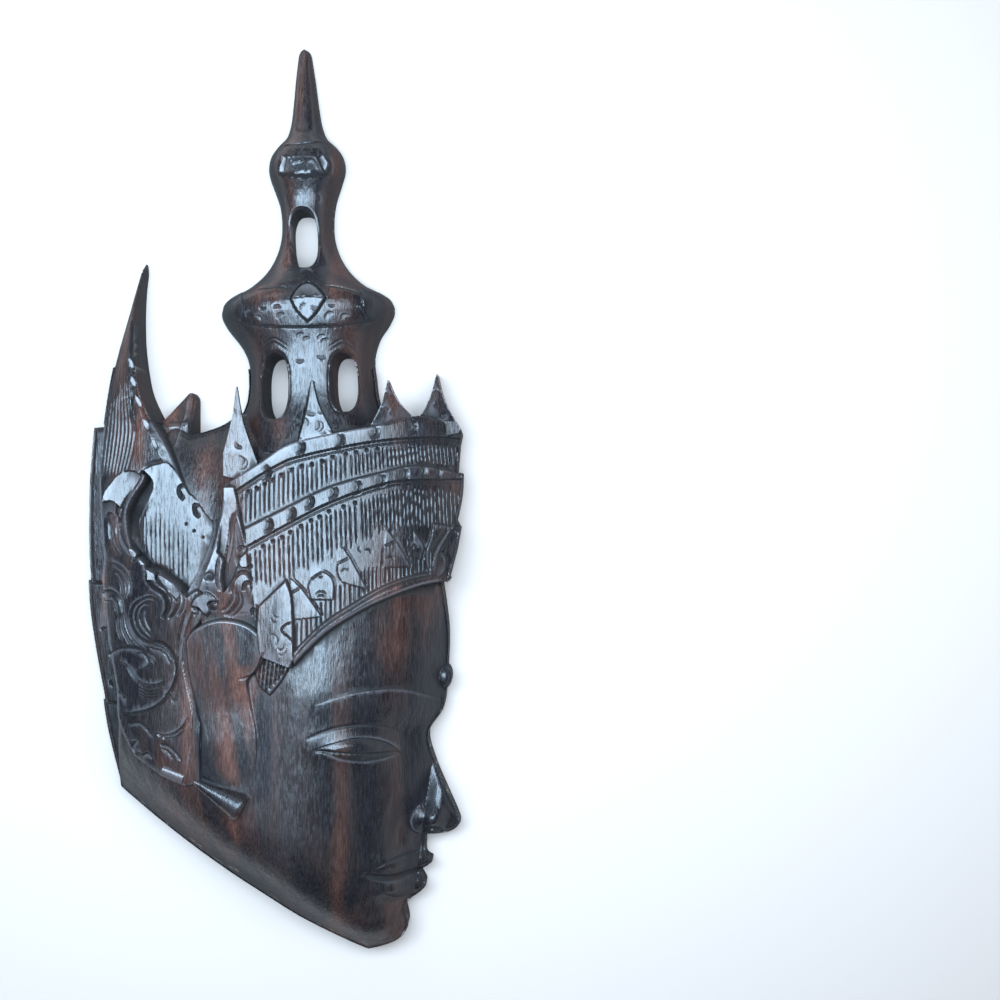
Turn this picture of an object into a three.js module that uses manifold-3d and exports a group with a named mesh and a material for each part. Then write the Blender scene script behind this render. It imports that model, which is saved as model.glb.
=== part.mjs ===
// A carved wooden wall mask: half a head in profile with a pierced tower crown, one solid block of wood.
// Millimetres. +X is the way the face looks, +Y runs up to the crown's tip, +Z comes off the wall.
import * as THREE from 'three';
import { mergeVertices } from 'three/addons/utils/BufferGeometryUtils.js';
import Module from 'manifold-3d';

const wasm = await Module();
wasm.setup();

// Driving dimensions
const EDGE = 11; // thickness of the wood along the face's front line
const RISE = 40; // how much higher the cheek stands than that edge
const FRONT_ROUND = 82; // how far behind the front line the head is at its full height
const BACK_LINE = -96; // where the back of the head would meet that thickness
const BACK_ROUND = 95;
const JAW_ROUND = 58;
const BAND_FRONT = 92; // front line of the headband
const HAIRLINE = new THREE.Vector2(85, -43); // where the headband ends above the forehead
const FACE_HEIGHT = 183; // hairline to chin, in three equal thirds
const BOW = THREE.MathUtils.degToRad(8); // how far the head is bowed
const NAPE = new THREE.Vector2(-76, -143);
const GROUND = -3; // every layer starts below the wall plane and is trimmed there at the end
const THROUGH = 90; // taller than any part of the carving
const LIFT = 7; // how far a cutting wedge stands out of the surface it cuts
const SHORTEST_EDGE = 0.05;

// Small helpers
const clamp = (value) => Math.min(1, Math.max(0, value));
const dome = (t) => 1 - (1 - clamp(t)) ** 2.6;
const bump = (x, y, rx, ry) => Math.exp(-((x / rx) ** 2) - (y / ry) ** 2);
const mix = (a, b, t) => a + (b - a) * t;
const vectors = (pairs) => pairs.map(([x, y]) => new THREE.Vector2(x, y));

function smoothStep(a, b, value) {
  const t = clamp((value - a) / (b - a));
  return t * t * (3 - 2 * t);
}

// Height of a hand-placed profile, [place, value] pairs in rising order of place
function profileAt(pairs, place) {
  const last = pairs.length - 1;
  if (place <= pairs[0][0]) return pairs[0][1];
  if (place >= pairs[last][0]) return pairs[last][1];
  const next = pairs.findIndex((pair) => pair[0] > place);
  const [a, b] = [pairs[next - 1], pairs[next]];
  return mix(a[1], b[1], (place - a[0]) / (b[0] - a[0]));
}

// The curve through hand-placed points, with sharp corners at the points that carry a third value
function curveThrough(points, steps = 3) {
  const run = [];
  const result = [];
  for (const [index, point] of points.entries()) {
    run.push(new THREE.Vector2(point[0], point[1]));
    const ends = point.length > 2 || index === points.length - 1;
    if (!ends || run.length < 2) continue;
    const spans = run.length - 1;
    const curve = spans > 1 ? new THREE.SplineCurve([...run]) : new THREE.LineCurve(run[0], run[1]);
    const samples = curve.getPoints(spans > 1 ? spans * steps : 1);
    result.push(...(result.length ? samples.slice(1) : samples));
    run.splice(0, spans);
  }
  return result;
}

// Every layer and bump laid down so far, so that a groove can be cut into whatever lies on top
const reliefs = [];

function surfaceHeight(x, y) {
  const covering = reliefs.filter((relief) => relief.covers(x, y));
  return Math.max(0, ...covering.map((relief) => relief.height(x, y)));
}

function isInside(outline, x, y) {
  let inside = false;
  for (const [index, a] of outline.entries()) {
    const b = outline[(index + 1) % outline.length];
    const crosses = a.y > y !== b.y > y && x < a.x + ((y - a.y) / (b.y - a.y)) * (b.x - a.x);
    if (crosses) inside = !inside;
  }
  return inside;
}

function solid(geometry) {
  geometry.deleteAttribute('normal');
  geometry.deleteAttribute('uv');
  const merged = mergeVertices(geometry, 1e-4);
  const vertProperties = new Float32Array(merged.attributes.position.array);
  const triVerts = new Uint32Array(merged.index.array);
  return new wasm.Manifold(new wasm.Mesh({ numProp: 3, vertProperties, triVerts }));
}

// A straight-walled prism over an outline, standing on the given floor
function prism(outline, floor) {
  const walls = new THREE.ExtrudeGeometry(new THREE.Shape(outline), { depth: THROUGH, bevelEnabled: false });
  walls.translate(0, 0, floor);
  return solid(walls);
}

// A wall-sided block over an outline, whose top follows height(x, y) on a grid of the given cell.
// warp(x, y, box) moves the grid's lines onto an edge or a ridge of the form.
function layer(outline, height, cell = 8, warp = (x, y) => [x, y], floor = GROUND) {
  const box = new THREE.Box2().setFromPoints(outline).expandByScalar(1);
  const size = box.getSize(new THREE.Vector2());
  const centre = box.getCenter(new THREE.Vector2());
  const cells = [Math.ceil(size.x / cell), Math.ceil(size.y / cell)];
  const block = new THREE.BoxGeometry(size.x, size.y, 1, cells[0], cells[1], 1);
  block.translate(centre.x, centre.y, 0);
  const place = block.attributes.position;
  for (let i = 0; i < place.count; i += 1) {
    const [x, y] = warp(place.getX(i), place.getY(i), box);
    place.setXYZ(i, x, y, place.getZ(i) > 0 ? height(x, y) : GROUND - 1);
  }
  reliefs.push({ covers: (x, y) => isInside(outline, x, y), height });
  return prism(outline, floor).intersect(solid(block));
}

// A V-section wedge along a path, with straight walls above it, for cutting a groove into the surface
function wedge(path, width, depth) {
  const section = [[0.5, LIFT], [0.5, 0], [0, -depth], [-0.5, 0], [-0.5, LIFT]]; // across and up
  const count = section.length;
  const places = [];
  const faces = [];
  for (const [index, point] of path.entries()) {
    const before = path[Math.max(0, index - 1)];
    const after = path[Math.min(path.length - 1, index + 1)];
    const side = new THREE.Vector2(before.y - after.y, after.x - before.x).setLength(width);
    const top = surfaceHeight(point.x, point.y);
    for (const [across, up] of section) {
      places.push(point.x + side.x * across, point.y + side.y * across, top + up);
    }
    if (index === 0) continue;
    const near = count * (index - 1);
    for (let corner = 0; corner < count; corner += 1) {
      const other = (corner + 1) % count;
      faces.push(near + other, near + corner, near + count + corner);
      faces.push(near + count + other, near + other, near + count + corner);
    }
  }
  const end = count * (path.length - 1);
  for (const caps of [[1, 2, 3], [0, 1, 3], [0, 3, 4]]) {
    faces.push(...caps);
    faces.push(...caps.map((corner) => end + corner).reverse());
  }
  const geometry = new THREE.BufferGeometry();
  geometry.setAttribute('position', new THREE.Float32BufferAttribute(places, 3));
  geometry.setIndex(faces);
  return solid(geometry);
}

// A bump: an ellipsoid with its middle at (x, y, z), turned in the plane of the wall
function ellipsoid(x, y, z, rx, ry, rz, turn = 0, segments = 12) {
  const rest = (px, py) => {
    const place = new THREE.Vector2(px - x, py - y).rotateAround(new THREE.Vector2(), -turn);
    return 1 - (place.x / rx) ** 2 - (place.y / ry) ** 2;
  };
  const height = (px, py) => z + rz * Math.sqrt(rest(px, py));
  reliefs.push({ covers: (px, py) => rest(px, py) > 0, height });
  const ball = new THREE.SphereGeometry(1, segments, segments / 2);
  ball.scale(rx, ry, rz);
  ball.rotateZ(turn);
  ball.translate(x, y, z);
  return solid(ball);
}

const joinAll = (solids) => solids.reduce((whole, part) => whole.add(part));
const cutAll = (whole, cuts) => whole.subtract(joinAll(cuts));

// The face has its own upright frame: ahead of the hairline, and down from it, before the head is bowed
function facePoint(ahead, down) {
  const x = ahead * Math.cos(BOW) - down * Math.sin(BOW);
  const y = -ahead * Math.sin(BOW) - down * Math.cos(BOW);
  return new THREE.Vector2(HAIRLINE.x + x, HAIRLINE.y + y);
}

function toFace(x, y) {
  const [dx, dy] = [x - HAIRLINE.x, y - HAIRLINE.y];
  return [dx * Math.cos(BOW) - dy * Math.sin(BOW), -dx * Math.sin(BOW) - dy * Math.cos(BOW)];
}

const THIRD = FACE_HEIGHT / 3;
const NOSE_BASE = 2 * THIRD;
const MOUTH_LINE = NOSE_BASE + THIRD / 3;
const CHIN = facePoint(-14, FACE_HEIGHT);
const EYE = [-30, THIRD + 19];

// The sawn lower edge, a shallow curve from the nape to the chin
const JAW_CURVE = new THREE.QuadraticBezierCurve(NAPE, new THREE.Vector2(-8, -196), CHIN);

function jawLine(x) {
  const t = clamp((x - NAPE.x) / (CHIN.x - NAPE.x));
  return JAW_CURVE.getPoint(t).y;
}

function headHeight(x, y) {
  const [ahead, down] = toFace(x, y);
  const front = dome((4 - (down < 0 ? ahead - 3 : ahead)) / FRONT_ROUND);
  const back = dome((x - BACK_LINE) / BACK_ROUND);
  const jaw = dome((y - jawLine(x) + 2) / JAW_ROUND);
  const skull = dome((50 - y) / 90) * (1 - 0.3 * smoothStep(-50, -10, y) * smoothStep(10, -30, x));
  return EDGE + RISE * front * back * jaw * skull;
}

// The head with the forms of the face on it: socket, eye, brow, nose, lips and chin
function faceHeight(x, y) {
  const [a, d] = toFace(x, y);
  const forms = [
    1.6 * bump(a + 20, d - THIRD + 1, 26, 9),
    -4.5 * bump(a + 12, d - THIRD - 16, 14, 14),
    3 * bump(a - EYE[0], d - EYE[1], 15, 7),
    7 * bump(a - 7, d - NOSE_BASE + 7, 7, 6.5),
    5 * bump(a - 10, d - NOSE_BASE + 16, 6, 14),
    -2.5 * bump(a + 7, d - NOSE_BASE + 4, 4, 12),
    5 * bump(a + 4, d - MOUTH_LINE + 6, 13, 5),
    5 * bump(a + 4, d - MOUTH_LINE - 6, 11, 5),
    -2.5 * bump(a + 2, d - MOUTH_LINE - 16, 12, 5),
    4 * bump(a + 10, d - FACE_HEIGHT + 16, 14, 11),
  ];
  return headHeight(x, y) + forms.reduce((sum, form) => sum + form, 0);
}

function bandHeight(x, y) {
  const front = dome((BAND_FRONT + 2 - x) / FRONT_ROUND);
  const upward = 1 - 0.0022 * (y - HAIRLINE.y);
  return EDGE + 2 + RISE * front * upward;
}

function faceOutline() {
  const profile = [
    [-3, 0], [3, 22], [5.5, 44], [6, THIRD], [0.5, THIRD + 13], [6, THIRD + 28], [20, NOSE_BASE - 10],
    [21.5, NOSE_BASE - 5], [17, NOSE_BASE - 0.5], [6, NOSE_BASE + 1.5, 'corner'], [7.5, NOSE_BASE + 12],
    [11, MOUTH_LINE - 5.5], [5, MOUTH_LINE, 'corner'], [9.5, MOUTH_LINE + 6], [6, MOUTH_LINE + 11.5],
    [1, MOUTH_LINE + 17], [3.5, MOUTH_LINE + 27], [-1, FACE_HEIGHT - 6], [-14, FACE_HEIGHT],
  ];
  return curveThrough(profile, 2).map((point) => facePoint(point.x, point.y));
}

const FACE_SPLIT = 18; // the face in front of this line is laid on a finer grid

function alongJaw(x, y, box) {
  const t = clamp((y - box.min.y) / (box.max.y - box.min.y));
  return [x, mix(jawLine(x) - 2, box.max.y, t ** 1.5)];
}

function head() {
  const back = curveThrough([
    [-70, -90], [-62, -40], [-52, 27], [-39, 28.5, 'corner'], [-31, 31], [-23.5, 34], [-14, 40],
    [0, 41, 'corner'],
    [FACE_SPLIT + 4, 40],
  ]);
  const jaw = JAW_CURVE.getPoints(12);
  const backJaw = jaw.filter((point) => point.x < FACE_SPLIT + 4).reverse();
  const frontJaw = jaw.filter((point) => point.x > FACE_SPLIT).reverse();
  const split = new THREE.Vector2(FACE_SPLIT, jawLine(FACE_SPLIT));
  const skull = [...back, new THREE.Vector2(FACE_SPLIT + 4, jawLine(FACE_SPLIT + 4)), ...backJaw];
  const front = [new THREE.Vector2(FACE_SPLIT, -38), ...faceOutline(), ...frontJaw.slice(1), split];
  const crown = vectors([[FACE_SPLIT, 40], [86, 28], [88, -30], [FACE_SPLIT, -42]]);
  const jewel = facePoint(4, THIRD - 15);
  return joinAll([
    layer(skull, headHeight, 14, alongJaw),
    layer(crown, headHeight, 20),
    layer(front, faceHeight, 6.9, alongJaw),
    ellipsoid(jewel.x, jewel.y, 9, 4, 6, 6, 0, 10),
  ]);
}

function faceCuts() {
  const mouth = [[14, MOUTH_LINE], [-6, MOUTH_LINE + 0.5], [-22, MOUTH_LINE - 1.5]];
  const lid = [[-13, EYE[1] + 2], [-22, EYE[1] - 4], [-33, EYE[1] - 5], [-48, EYE[1] + 2]];
  const lash = [[-17, EYE[1] + 2.5], [-25, EYE[1] + 3.5], [-34, EYE[1] + 4], [-44, EYE[1] + 2.5]];
  const paths = [mouth, lid, lash].map((line) =>
    curveThrough(line, 2).map((point) => facePoint(point.x, point.y)));
  return paths.map((path, index) => wedge(path, index ? 2.4 : 4, index ? 1.4 : 3));
}

// The back layer: three lapped plates of the headdress's back, the upper over the lower
function backLayer() {
  const plates = [
    { edge: [[-89.5, 33], [-91.5, 7], [-92, -22], [-91, -41]], height: 15 },
    { edge: [[-93, -42], [-92, -56.5], [-89, -76], [-84.5, -99]], height: 13 },
    { edge: [[-86, -101], [-83.5, -115.5], [-78.5, -135], [-76, -143]], height: 11 },
  ];
  return joinAll(plates.map(({ edge, height }) => {
    const inner = vectors([[-40, edge[3][1] - 4], [-40, edge[0][1] - 2]]);
    return layer([...curveThrough(edge, 2), ...inner], () => height, 60);
  }));
}

// The crown tower: a flattened turned form of two bulbs and a spire, pierced by three windows
const TOWER_PROFILE = [
  // half width, place along the mask
  [0, 222], [2.4, 220.5], [3.4, 217], [5, 205], [6.2, 194], [7.6, 184], [10.2, 176.5], [15, 171.5],
  [18.2, 166], [18.7, 159.5], [16.6, 152.5], [14, 144.5], [12.8, 136], [13.2, 126.5], [16, 117.5],
  [21.5, 109], [29.5, 102], [39, 97], [42.2, 93], [42.6, 88.5], [40, 83], [34.8, 75.5], [31.5, 67],
  [31.2, 57], [32.5, 46], [36, 36], [37, 20],
];
const TOWER_THICKNESS = [
  // place along the mask, thickness off the wall
  [20, 40], [44, 34], [60, 32], [72, 32], [90, 38], [100, 33], [112, 24], [130, 20], [145, 21],
  [162, 26], [174, 18], [182, 13], [207, 8], [222, 4],
];
const TOWER_CENTRE = [[20, 18.5], [58, 17.5], [78, 14.8], [150, 14.4], [222, 12.7]];
const TOWER_TILT = [[60, 0], [90, 0.035], [150, 0.07], [175, 0.07], [200, 0]]; // right shoulders sit higher
const TOWER_FOOT = 20;
const TOWER_TIP = 221;
const WINDOWS = [
  { x: 14.8, y: 124, halfWidth: 6.8, halfHeight: 14.6, lean: 0.06 },
  { x: 2.6, y: 51.8, halfWidth: 6.8, halfHeight: 15.8, lean: 0 },
  { x: 35.2, y: 53.8, halfWidth: 6.1, halfHeight: 14.2, lean: 0.04 },
];
const WINDOW_SQUARED = 0.75; // below one it fills an ellipse out towards a slot with rounded ends

const towerHalfWidth = (y) => profileAt([...TOWER_PROFILE].reverse().map(([w, place]) => [place, w]), y);

function towerHeight(x, y) {
  const across = (x - profileAt(TOWER_CENTRE, y)) / towerHalfWidth(y);
  return profileAt(TOWER_THICKNESS, y) * Math.sqrt(Math.max(0, 1 - across * across));
}

function windowHole({ x, y, halfWidth, halfHeight, lean }) {
  const rim = Array.from({ length: 16 }, (_, i) => {
    const angle = (i * Math.PI) / 8;
    const [across, up] = [Math.cos(angle), Math.sin(angle)]
      .map((value) => Math.sign(value) * Math.abs(value) ** WINDOW_SQUARED);
    return new THREE.Vector2(x + halfWidth * across - lean * halfHeight * up, y + halfHeight * up);
  });
  return prism(rim, GROUND);
}

function tower() {
  const profile = vectors(TOWER_PROFILE).reverse();
  const turned = new THREE.LatheGeometry([new THREE.Vector2(0, TOWER_FOOT), ...profile], 20);
  const place = turned.attributes.position;
  for (let i = 0; i < place.count; i += 1) {
    const [across, y] = [place.getX(i), place.getY(i)];
    const flat = profileAt(TOWER_THICKNESS, y) / towerHalfWidth(Math.min(y, TOWER_TIP));
    const tilted = y + across * profileAt(TOWER_TILT, y);
    place.setXYZ(i, across + profileAt(TOWER_CENTRE, y), tilted, place.getZ(i) * flat);
  }
  const covers = (x, y) => y > TOWER_FOOT && y < TOWER_TIP && towerHeight(x, y) > 0;
  reliefs.push({ covers, height: towerHeight });
  return cutAll(solid(turned), WINDOWS.map(windowHole));
}

// The lower bulb's lozenge and side leaves, and the petals round the upper bulb
function towerOrnament() {
  const [middle, halfPetal] = [14, 4];
  const lozenge = vectors([[middle, 106.5], [middle + 10.5, 97.5], [middle + 0.5, 87.5], [middle - 10, 97]]);
  const parts = [layer(lozenge, (x, y) => towerHeight(x, y) + 2.4, 7)];
  for (const side of [-1, 1]) {
    const points = [[22, 98, 'corner'], [33, 101], [41, 95], [41, 87], [33, 85, 'corner'], [27, 91]];
    const leaf = curveThrough(points.map(([across, ...rest]) => [middle + side * across, ...rest]), 2);
    parts.push(layer(leaf, (x, y) => towerHeight(x, y) + 2, 12));
  }
  for (const x of [-13, -5, 5, 13].map((across) => middle + across)) {
    const petal = vectors([
      [x - halfPetal, 155], [x - halfPetal, 164], [x, 169], [x + halfPetal, 164], [x + halfPetal, 155],
    ]);
    parts.push(layer(petal, (px, py) => towerHeight(px, py) + 1.4, 12));
  }
  return joinAll(parts);
}

function towerCuts() {
  const rings = [[83.5, 34], [104, 24], [153, 15], [174, 9]]; // place along the mask, reach to each side
  return rings.map(([y, reach]) => {
    const middle = profileAt(TOWER_CENTRE, y);
    const tilt = profileAt(TOWER_TILT, y);
    const path = [-1, -0.6, 0, 0.6, 1].map((t) => {
      return new THREE.Vector2(middle + t * reach, y + tilt * t * reach + 1.5 * t * t);
    });
    return wedge(path, 2.4, 1.2);
  });
}

// The crown's four spikes: pointed leaves standing off the band's upper rim
function spikes() {
  const blades = [
    { tip: [-13.8, 51.5], left: [-19.5, 19], right: [-3.5, 15], height: 42, floor: 30 },
    { tip: [22.5, 54.5], left: [16.5, 25], right: [32, 29], height: 47, floor: 20 },
    { tip: [56.5, 55.5], left: [48, 31.5], right: [72, 34], height: 38, floor: 20 },
    { tip: [79.3, 60], left: [70, 35.5], right: [91, 32], height: 25, floor: GROUND },
  ];
  return joinAll(blades.map(({ tip, left, right, height, floor }) => {
    const hollow = (foot) => [mix(tip[0], foot[0], 0.33), mix(tip[1], foot[1], 0.5)];
    const outline = curveThrough([
      [...left, 'corner'], hollow(left), [...tip, 'corner'], hollow(right), [...right, 'corner'],
      [right[0] - 1, right[1] - 10, 'corner'], [left[0], left[1] - 10],
    ], 2);
    const ridge = (y) => mix(tip[0], (left[0] + right[0]) / 2, clamp((tip[1] - y) / (tip[1] - left[1])));
    const slope = (x, y) => height - 0.14 * Math.max(0, y - left[1]) - 0.3 * Math.abs(x - ridge(y));
    return layer(outline, slope, 8, undefined, floor);
  }));
}

// The headband: three lapped tiers, each lower one standing prouder, above a rolled rim
const TIER_TOPS = [
  [[-16, 6], [-1.5, 15], [12.5, 24], [37.5, 30], [54, 33], [71, 37.5], [82, 35.5], [91, 31.5]],
  [[-8, -15.5], [11, -6], [31.5, 4], [54, 10.5], [71, 14], [92, 10.5]],
];
const TIER_GROOVES = [
  [[-12.5, 1.5], [7, 13.5], [19, 18], [49.5, 24.5], [77.5, 27.5], [92, 27]],
  [[-7, -24.5], [14.5, -12.5], [31, -4], [48, 2.5], [63.5, 6.5], [93, 7.5]],
];
const ROLL_TOP = [[15.5, -72], [23, -64], [31, -57], [42, -50], [55, -42.5], [68, -38], [78, -36.5]];
const ROLL_LOW = [[16, -78], [23, -70.5], [31, -63], [42, -56], [53.5, -50], [71, -43.5], [86, -41]];
const PROUD = [1, 2.6, 4.6]; // how far each tier, and then the rim, stands off the band's surface

const proudBand = (step) => (x, y) => bandHeight(x, y) + PROUD[step];

function headband() {
  const upper = curveThrough([
    ...TIER_TOPS[0], [90.5, 24], [89.5, 12, 'corner'], [88, -10, 'corner'], [20, -40, 'corner'],
    [-8, -24, 'corner'],
  ]);
  const lower = curveThrough([
    ...TIER_TOPS[1].slice(0, -1), [92, 10.5, 'corner'], [91.5, 0], [89, -12.5, 'corner'],
    [90.5, -15.5, 'corner'], [89, -26], [85, -41, 'corner'], [55, -46], [31, -60], [14, -74, 'corner'],
    [-2, -60, 'corner'],
  ]);
  const roll = [...curveThrough(ROLL_TOP), ...curveThrough(ROLL_LOW).reverse()];
  const corner = curveThrough([
    [91, -15.5, 'corner'], [78, -13.5, 'corner'], [77, -20], [74.5, -29], [77, -39, 'corner'],
    [85, -42, 'corner'], [89, -27],
  ], 2);
  return joinAll([
    layer(upper, proudBand(0), 19),
    layer(lower, proudBand(1), 19),
    layer(roll, proudBand(2), 9),
    layer(corner, (x, y) => bandHeight(x, y) + 4.5, 6),
  ]);
}

// Grooves between two lines, standing side by side like the teeth of a comb
function comb(upper, lower, count, reach, width = 2.2, depth = 1.1) {
  const [top, low] = [upper, lower].map((line) => new THREE.SplineCurve(vectors(line)));
  const cuts = [];
  for (let i = 0; i < count; i += 1) {
    const t = (i + 0.5) / count;
    const from = top.getPoint(t).lerp(low.getPoint(t), reach[0]);
    const to = top.getPoint(t).lerp(low.getPoint(t), reach[1]);
    cuts.push(wedge([from, to], width, depth));
  }
  return cuts;
}

function headbandCuts() {
  const upperGroove = curveThrough(TIER_GROOVES[0], 1);
  const lowerGroove = curveThrough(TIER_GROOVES[1], 1);
  const rimLine = [[-2, -58], [14, -70], [30, -52], [52, -38], [76, -32]];
  return [
    wedge(upperGroove, 2.4, 1.2),
    wedge(lowerGroove, 2.4, 1.2),
    ...comb(TIER_GROOVES[0], TIER_TOPS[1], 17, [0.12, 0.85]),
    ...comb(TIER_GROOVES[1], rimLine, 18, [0.1, 0.6]),
  ];
}

// The tall pointed leaf with its hooks in front of the ear, and the leaf hanging over the temple
function templeLeaves() {
  const tall = curveThrough([
    [-18, 3.5, 'corner'], [-12.5, 3.5, 'corner'], [-11, -3], [-8, -16.5], [-6, -25, 'corner'], [-9.5, -28],
    [-5.5, -29, 'corner'], [-5.5, -34], [-10.5, -36.5, 'corner'], [-5, -36, 'corner'], [-4.5, -40],
    [-8, -42, 'corner'], [-4, -44.5, 'corner'], [-1.5, -54], [0, -62, 'corner'], [-27, -62, 'corner'],
    [-27, -54], [-22, -49, 'corner'], [-28, -43.5, 'corner'], [-25, -35], [-22, -26.5], [-19.2, -11.5],
  ], 2);
  const hanging = curveThrough([
    [12.5, -39, 'corner'], [15, -46], [15.5, -58.5, 'corner'], [10.5, -61, 'corner'], [14, -66],
    [16.5, -75, 'corner'], [14.5, -79, 'corner'], [0.5, -74, 'corner'], [-1, -62.5], [-0.5, -51, 'corner'],
  ], 2);
  const fringe = curveThrough([
    [-1, -73, 'corner'], [14, -78, 'corner'], [9.5, -86], [4.5, -92, 'corner'], [-0.5, -87.5],
    [-2.5, -81.5],
  ], 2);
  return joinAll([
    layer(fringe, (x, y) => headHeight(x, y) + 2, 9),
    layer(tall, (x, y) => bandHeight(x, y) + 3.5, 9),
    layer(hanging, (x, y) => bandHeight(x, y) + 5, 9),
  ]);
}

// The ear: a round boss over a long stretched lobe, with the pin stuck through the lobe's lower end
const EAR_CENTRE = [-17, -75.3];
const EAR_RADIUS = 17.4;

function ear() {
  const circle = new THREE.Path().absarc(...EAR_CENTRE, EAR_RADIUS, 0, 2 * Math.PI);
  const lobe = curveThrough([
    [-34.7, -76, 'corner'], [-34.6, -80], [-31.6, -91], [-30.7, -100], [-31.5, -114], [-32, -126.5],
    [-29.5, -133, 'corner'], [-8, -133, 'corner'], [-8, -76, 'corner'],
  ], 2);
  return joinAll([
    layer(lobe, (x, y) => headHeight(x, y) + 4 * smoothStep(-8, -28, x), 9),
    layer(circle.getPoints(10).slice(1), (x, y) => headHeight(x, y) + 4.5, 9),
  ]);
}

function earPin() {
  const profile = vectors([[0, 0], [1.2, 0], [2.2, 10], [6.6, 23], [6.6, 24.5], [5.4, 26], [0, 26]]);
  const [pinTip, pinSlope] = [new THREE.Vector3(-31, -132, 51), Math.atan2(22, 12)];
  const [rodMiddle, rodSlope] = [new THREE.Vector3(-41, -129, 44), Math.atan2(9, 3.5)];
  const pin = new THREE.LatheGeometry(profile, 14);
  const rod = new THREE.CylinderGeometry(1.5, 1.5, 12, 8);
  pin.rotateZ(Math.PI + pinSlope).translate(...pinTip);
  rod.rotateZ(rodSlope).translate(...rodMiddle);
  return joinAll([solid(pin), solid(rod)]);
}

// The wing at the back: a tall feather whose ridge runs close behind its front edge, and the tail below it
const WING_LINES = [
  // place along the mask, the outer edge, the ridge, the front edge, and the height of the first two
  { y: -48, outer: -84, ridge: -34, front: -22, low: 24, high: 40 },
  { y: -14, outer: -84, ridge: -36, front: -22, low: 24, high: 40 },
  { y: 5, outer: -83.5, ridge: -44, front: -38, low: 23, high: 38 },
  { y: 25, outer: -82.5, ridge: -54.5, front: -44, low: 22, high: 35 },
  { y: 36, outer: -82, ridge: -60, front: -52, low: 20, high: 32 },
  { y: 53, outer: -79.5, ridge: -66, front: -62.5, low: 18, high: 28 },
  { y: 72, outer: -75.5, ridge: -69, front: -66, low: 15, high: 23 },
  { y: 92, outer: -70.5, ridge: -68.5, front: -66.2, low: 12, high: 17 },
  { y: 115, outer: -66.5, ridge: -66, front: -65, low: 6, high: 7 },
];
const wingLine = (name, y) => profileAt(WING_LINES.map((line) => [line.y, line[name]]), y);

function wingHeight(x, y) {
  const [outer, ridge, front] = ['outer', 'ridge', 'front'].map((name) => wingLine(name, y));
  const [low, high] = [wingLine('low', y), wingLine('high', y)];
  if (x < ridge) return mix(low, high, clamp((x - outer) / (ridge - outer)));
  return mix(high, y > 30 ? 5 : high - 3, clamp((x - ridge) / (front - ridge)));
}

function alongRidge(x, y, box) {
  const t = clamp((x - box.min.x) / (box.max.x - box.min.x));
  const [outer, ridge, front] = ['outer', 'ridge', 'front'].map((name) => wingLine(name, y));
  return [t < 0.5 ? mix(outer - 2, ridge, t / 0.5) : mix(ridge, front + 3, (t - 0.5) / 0.5), y];
}

const RECESS_FLOOR = 18; // of the dark hollow between the wing and the leaf ornament

function wing() {
  const outline = curveThrough([
    [-66, 115, 'corner'], [-65.5, 110], [-66.5, 100], [-67, 87], [-66.5, 72], [-64.5, 57], [-62, 47.5],
    [-56.5, 36, 'corner'], [-48, 23], [-39.5, 5, 'corner'], [-40.5, 0], [-35, -1.5, 'corner'], [-33, -9],
    [-31, -12.5, 'corner'], [-24.5, -13, 'corner'], [-26, -24], [-30, -38], [-36.5, -47, 'corner'],
    [-60, -50], [-80, -30, 'corner'], [-83.5, 5], [-82.5, 22], [-80, 50], [-75.5, 72], [-70.5, 93],
  ], 2);
  const recess = curveThrough([
    [-66, 6, 'corner'], [-61, 11], [-57.5, 5], [-59.5, -1], [-64.5, -9], [-66, -20, 'corner'], [-70, -12],
  ], 2);
  return layer(outline, wingHeight, 11, alongRidge).subtract(prism(recess, RECESS_FLOOR));
}

function wingCuts() {
  const places = [-6, 14, 34, 54, 74];
  const flutes = [0.12, 0.3, 0.48, 0.66, 0.84].map((t) => {
    const line = places.slice(t < 0.5 ? 0 : 1).map((y) => {
      return new THREE.Vector2(mix(wingLine('outer', y), wingLine('ridge', y), t), y + 8 * t);
    });
    return wedge(line, 2.6, 1.2);
  });
  const feathers = [0, 1, 2, 3, 4, 5].map((i) => {
    const x = -55 + 4.4 * i;
    return wedge([new THREE.Vector2(x, 2 - 3.5 * i), new THREE.Vector2(x + 1, -27 - 2.6 * i)], 2.4, 1.2);
  });
  return [...flutes, ...feathers];
}

// The small horn beside the wing and the leaf ornament between the wing and the ear
function horn() {
  const outline = curveThrough([
    [-58, 31, 'corner'], [-53.5, 37], [-50, 41.5], [-46.5, 46.5], [-43, 50.5], [-40, 48], [-39.7, 42],
    [-39.7, 26, 'corner'],
  ], 2);
  return layer(outline, (x, y) => 20 - 0.6 * (y - 30), 9);
}

const leafHeight = (x, y) => Math.max(27, headHeight(x, y) + 3.5 + Math.sin((y + 60) / 14));

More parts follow.
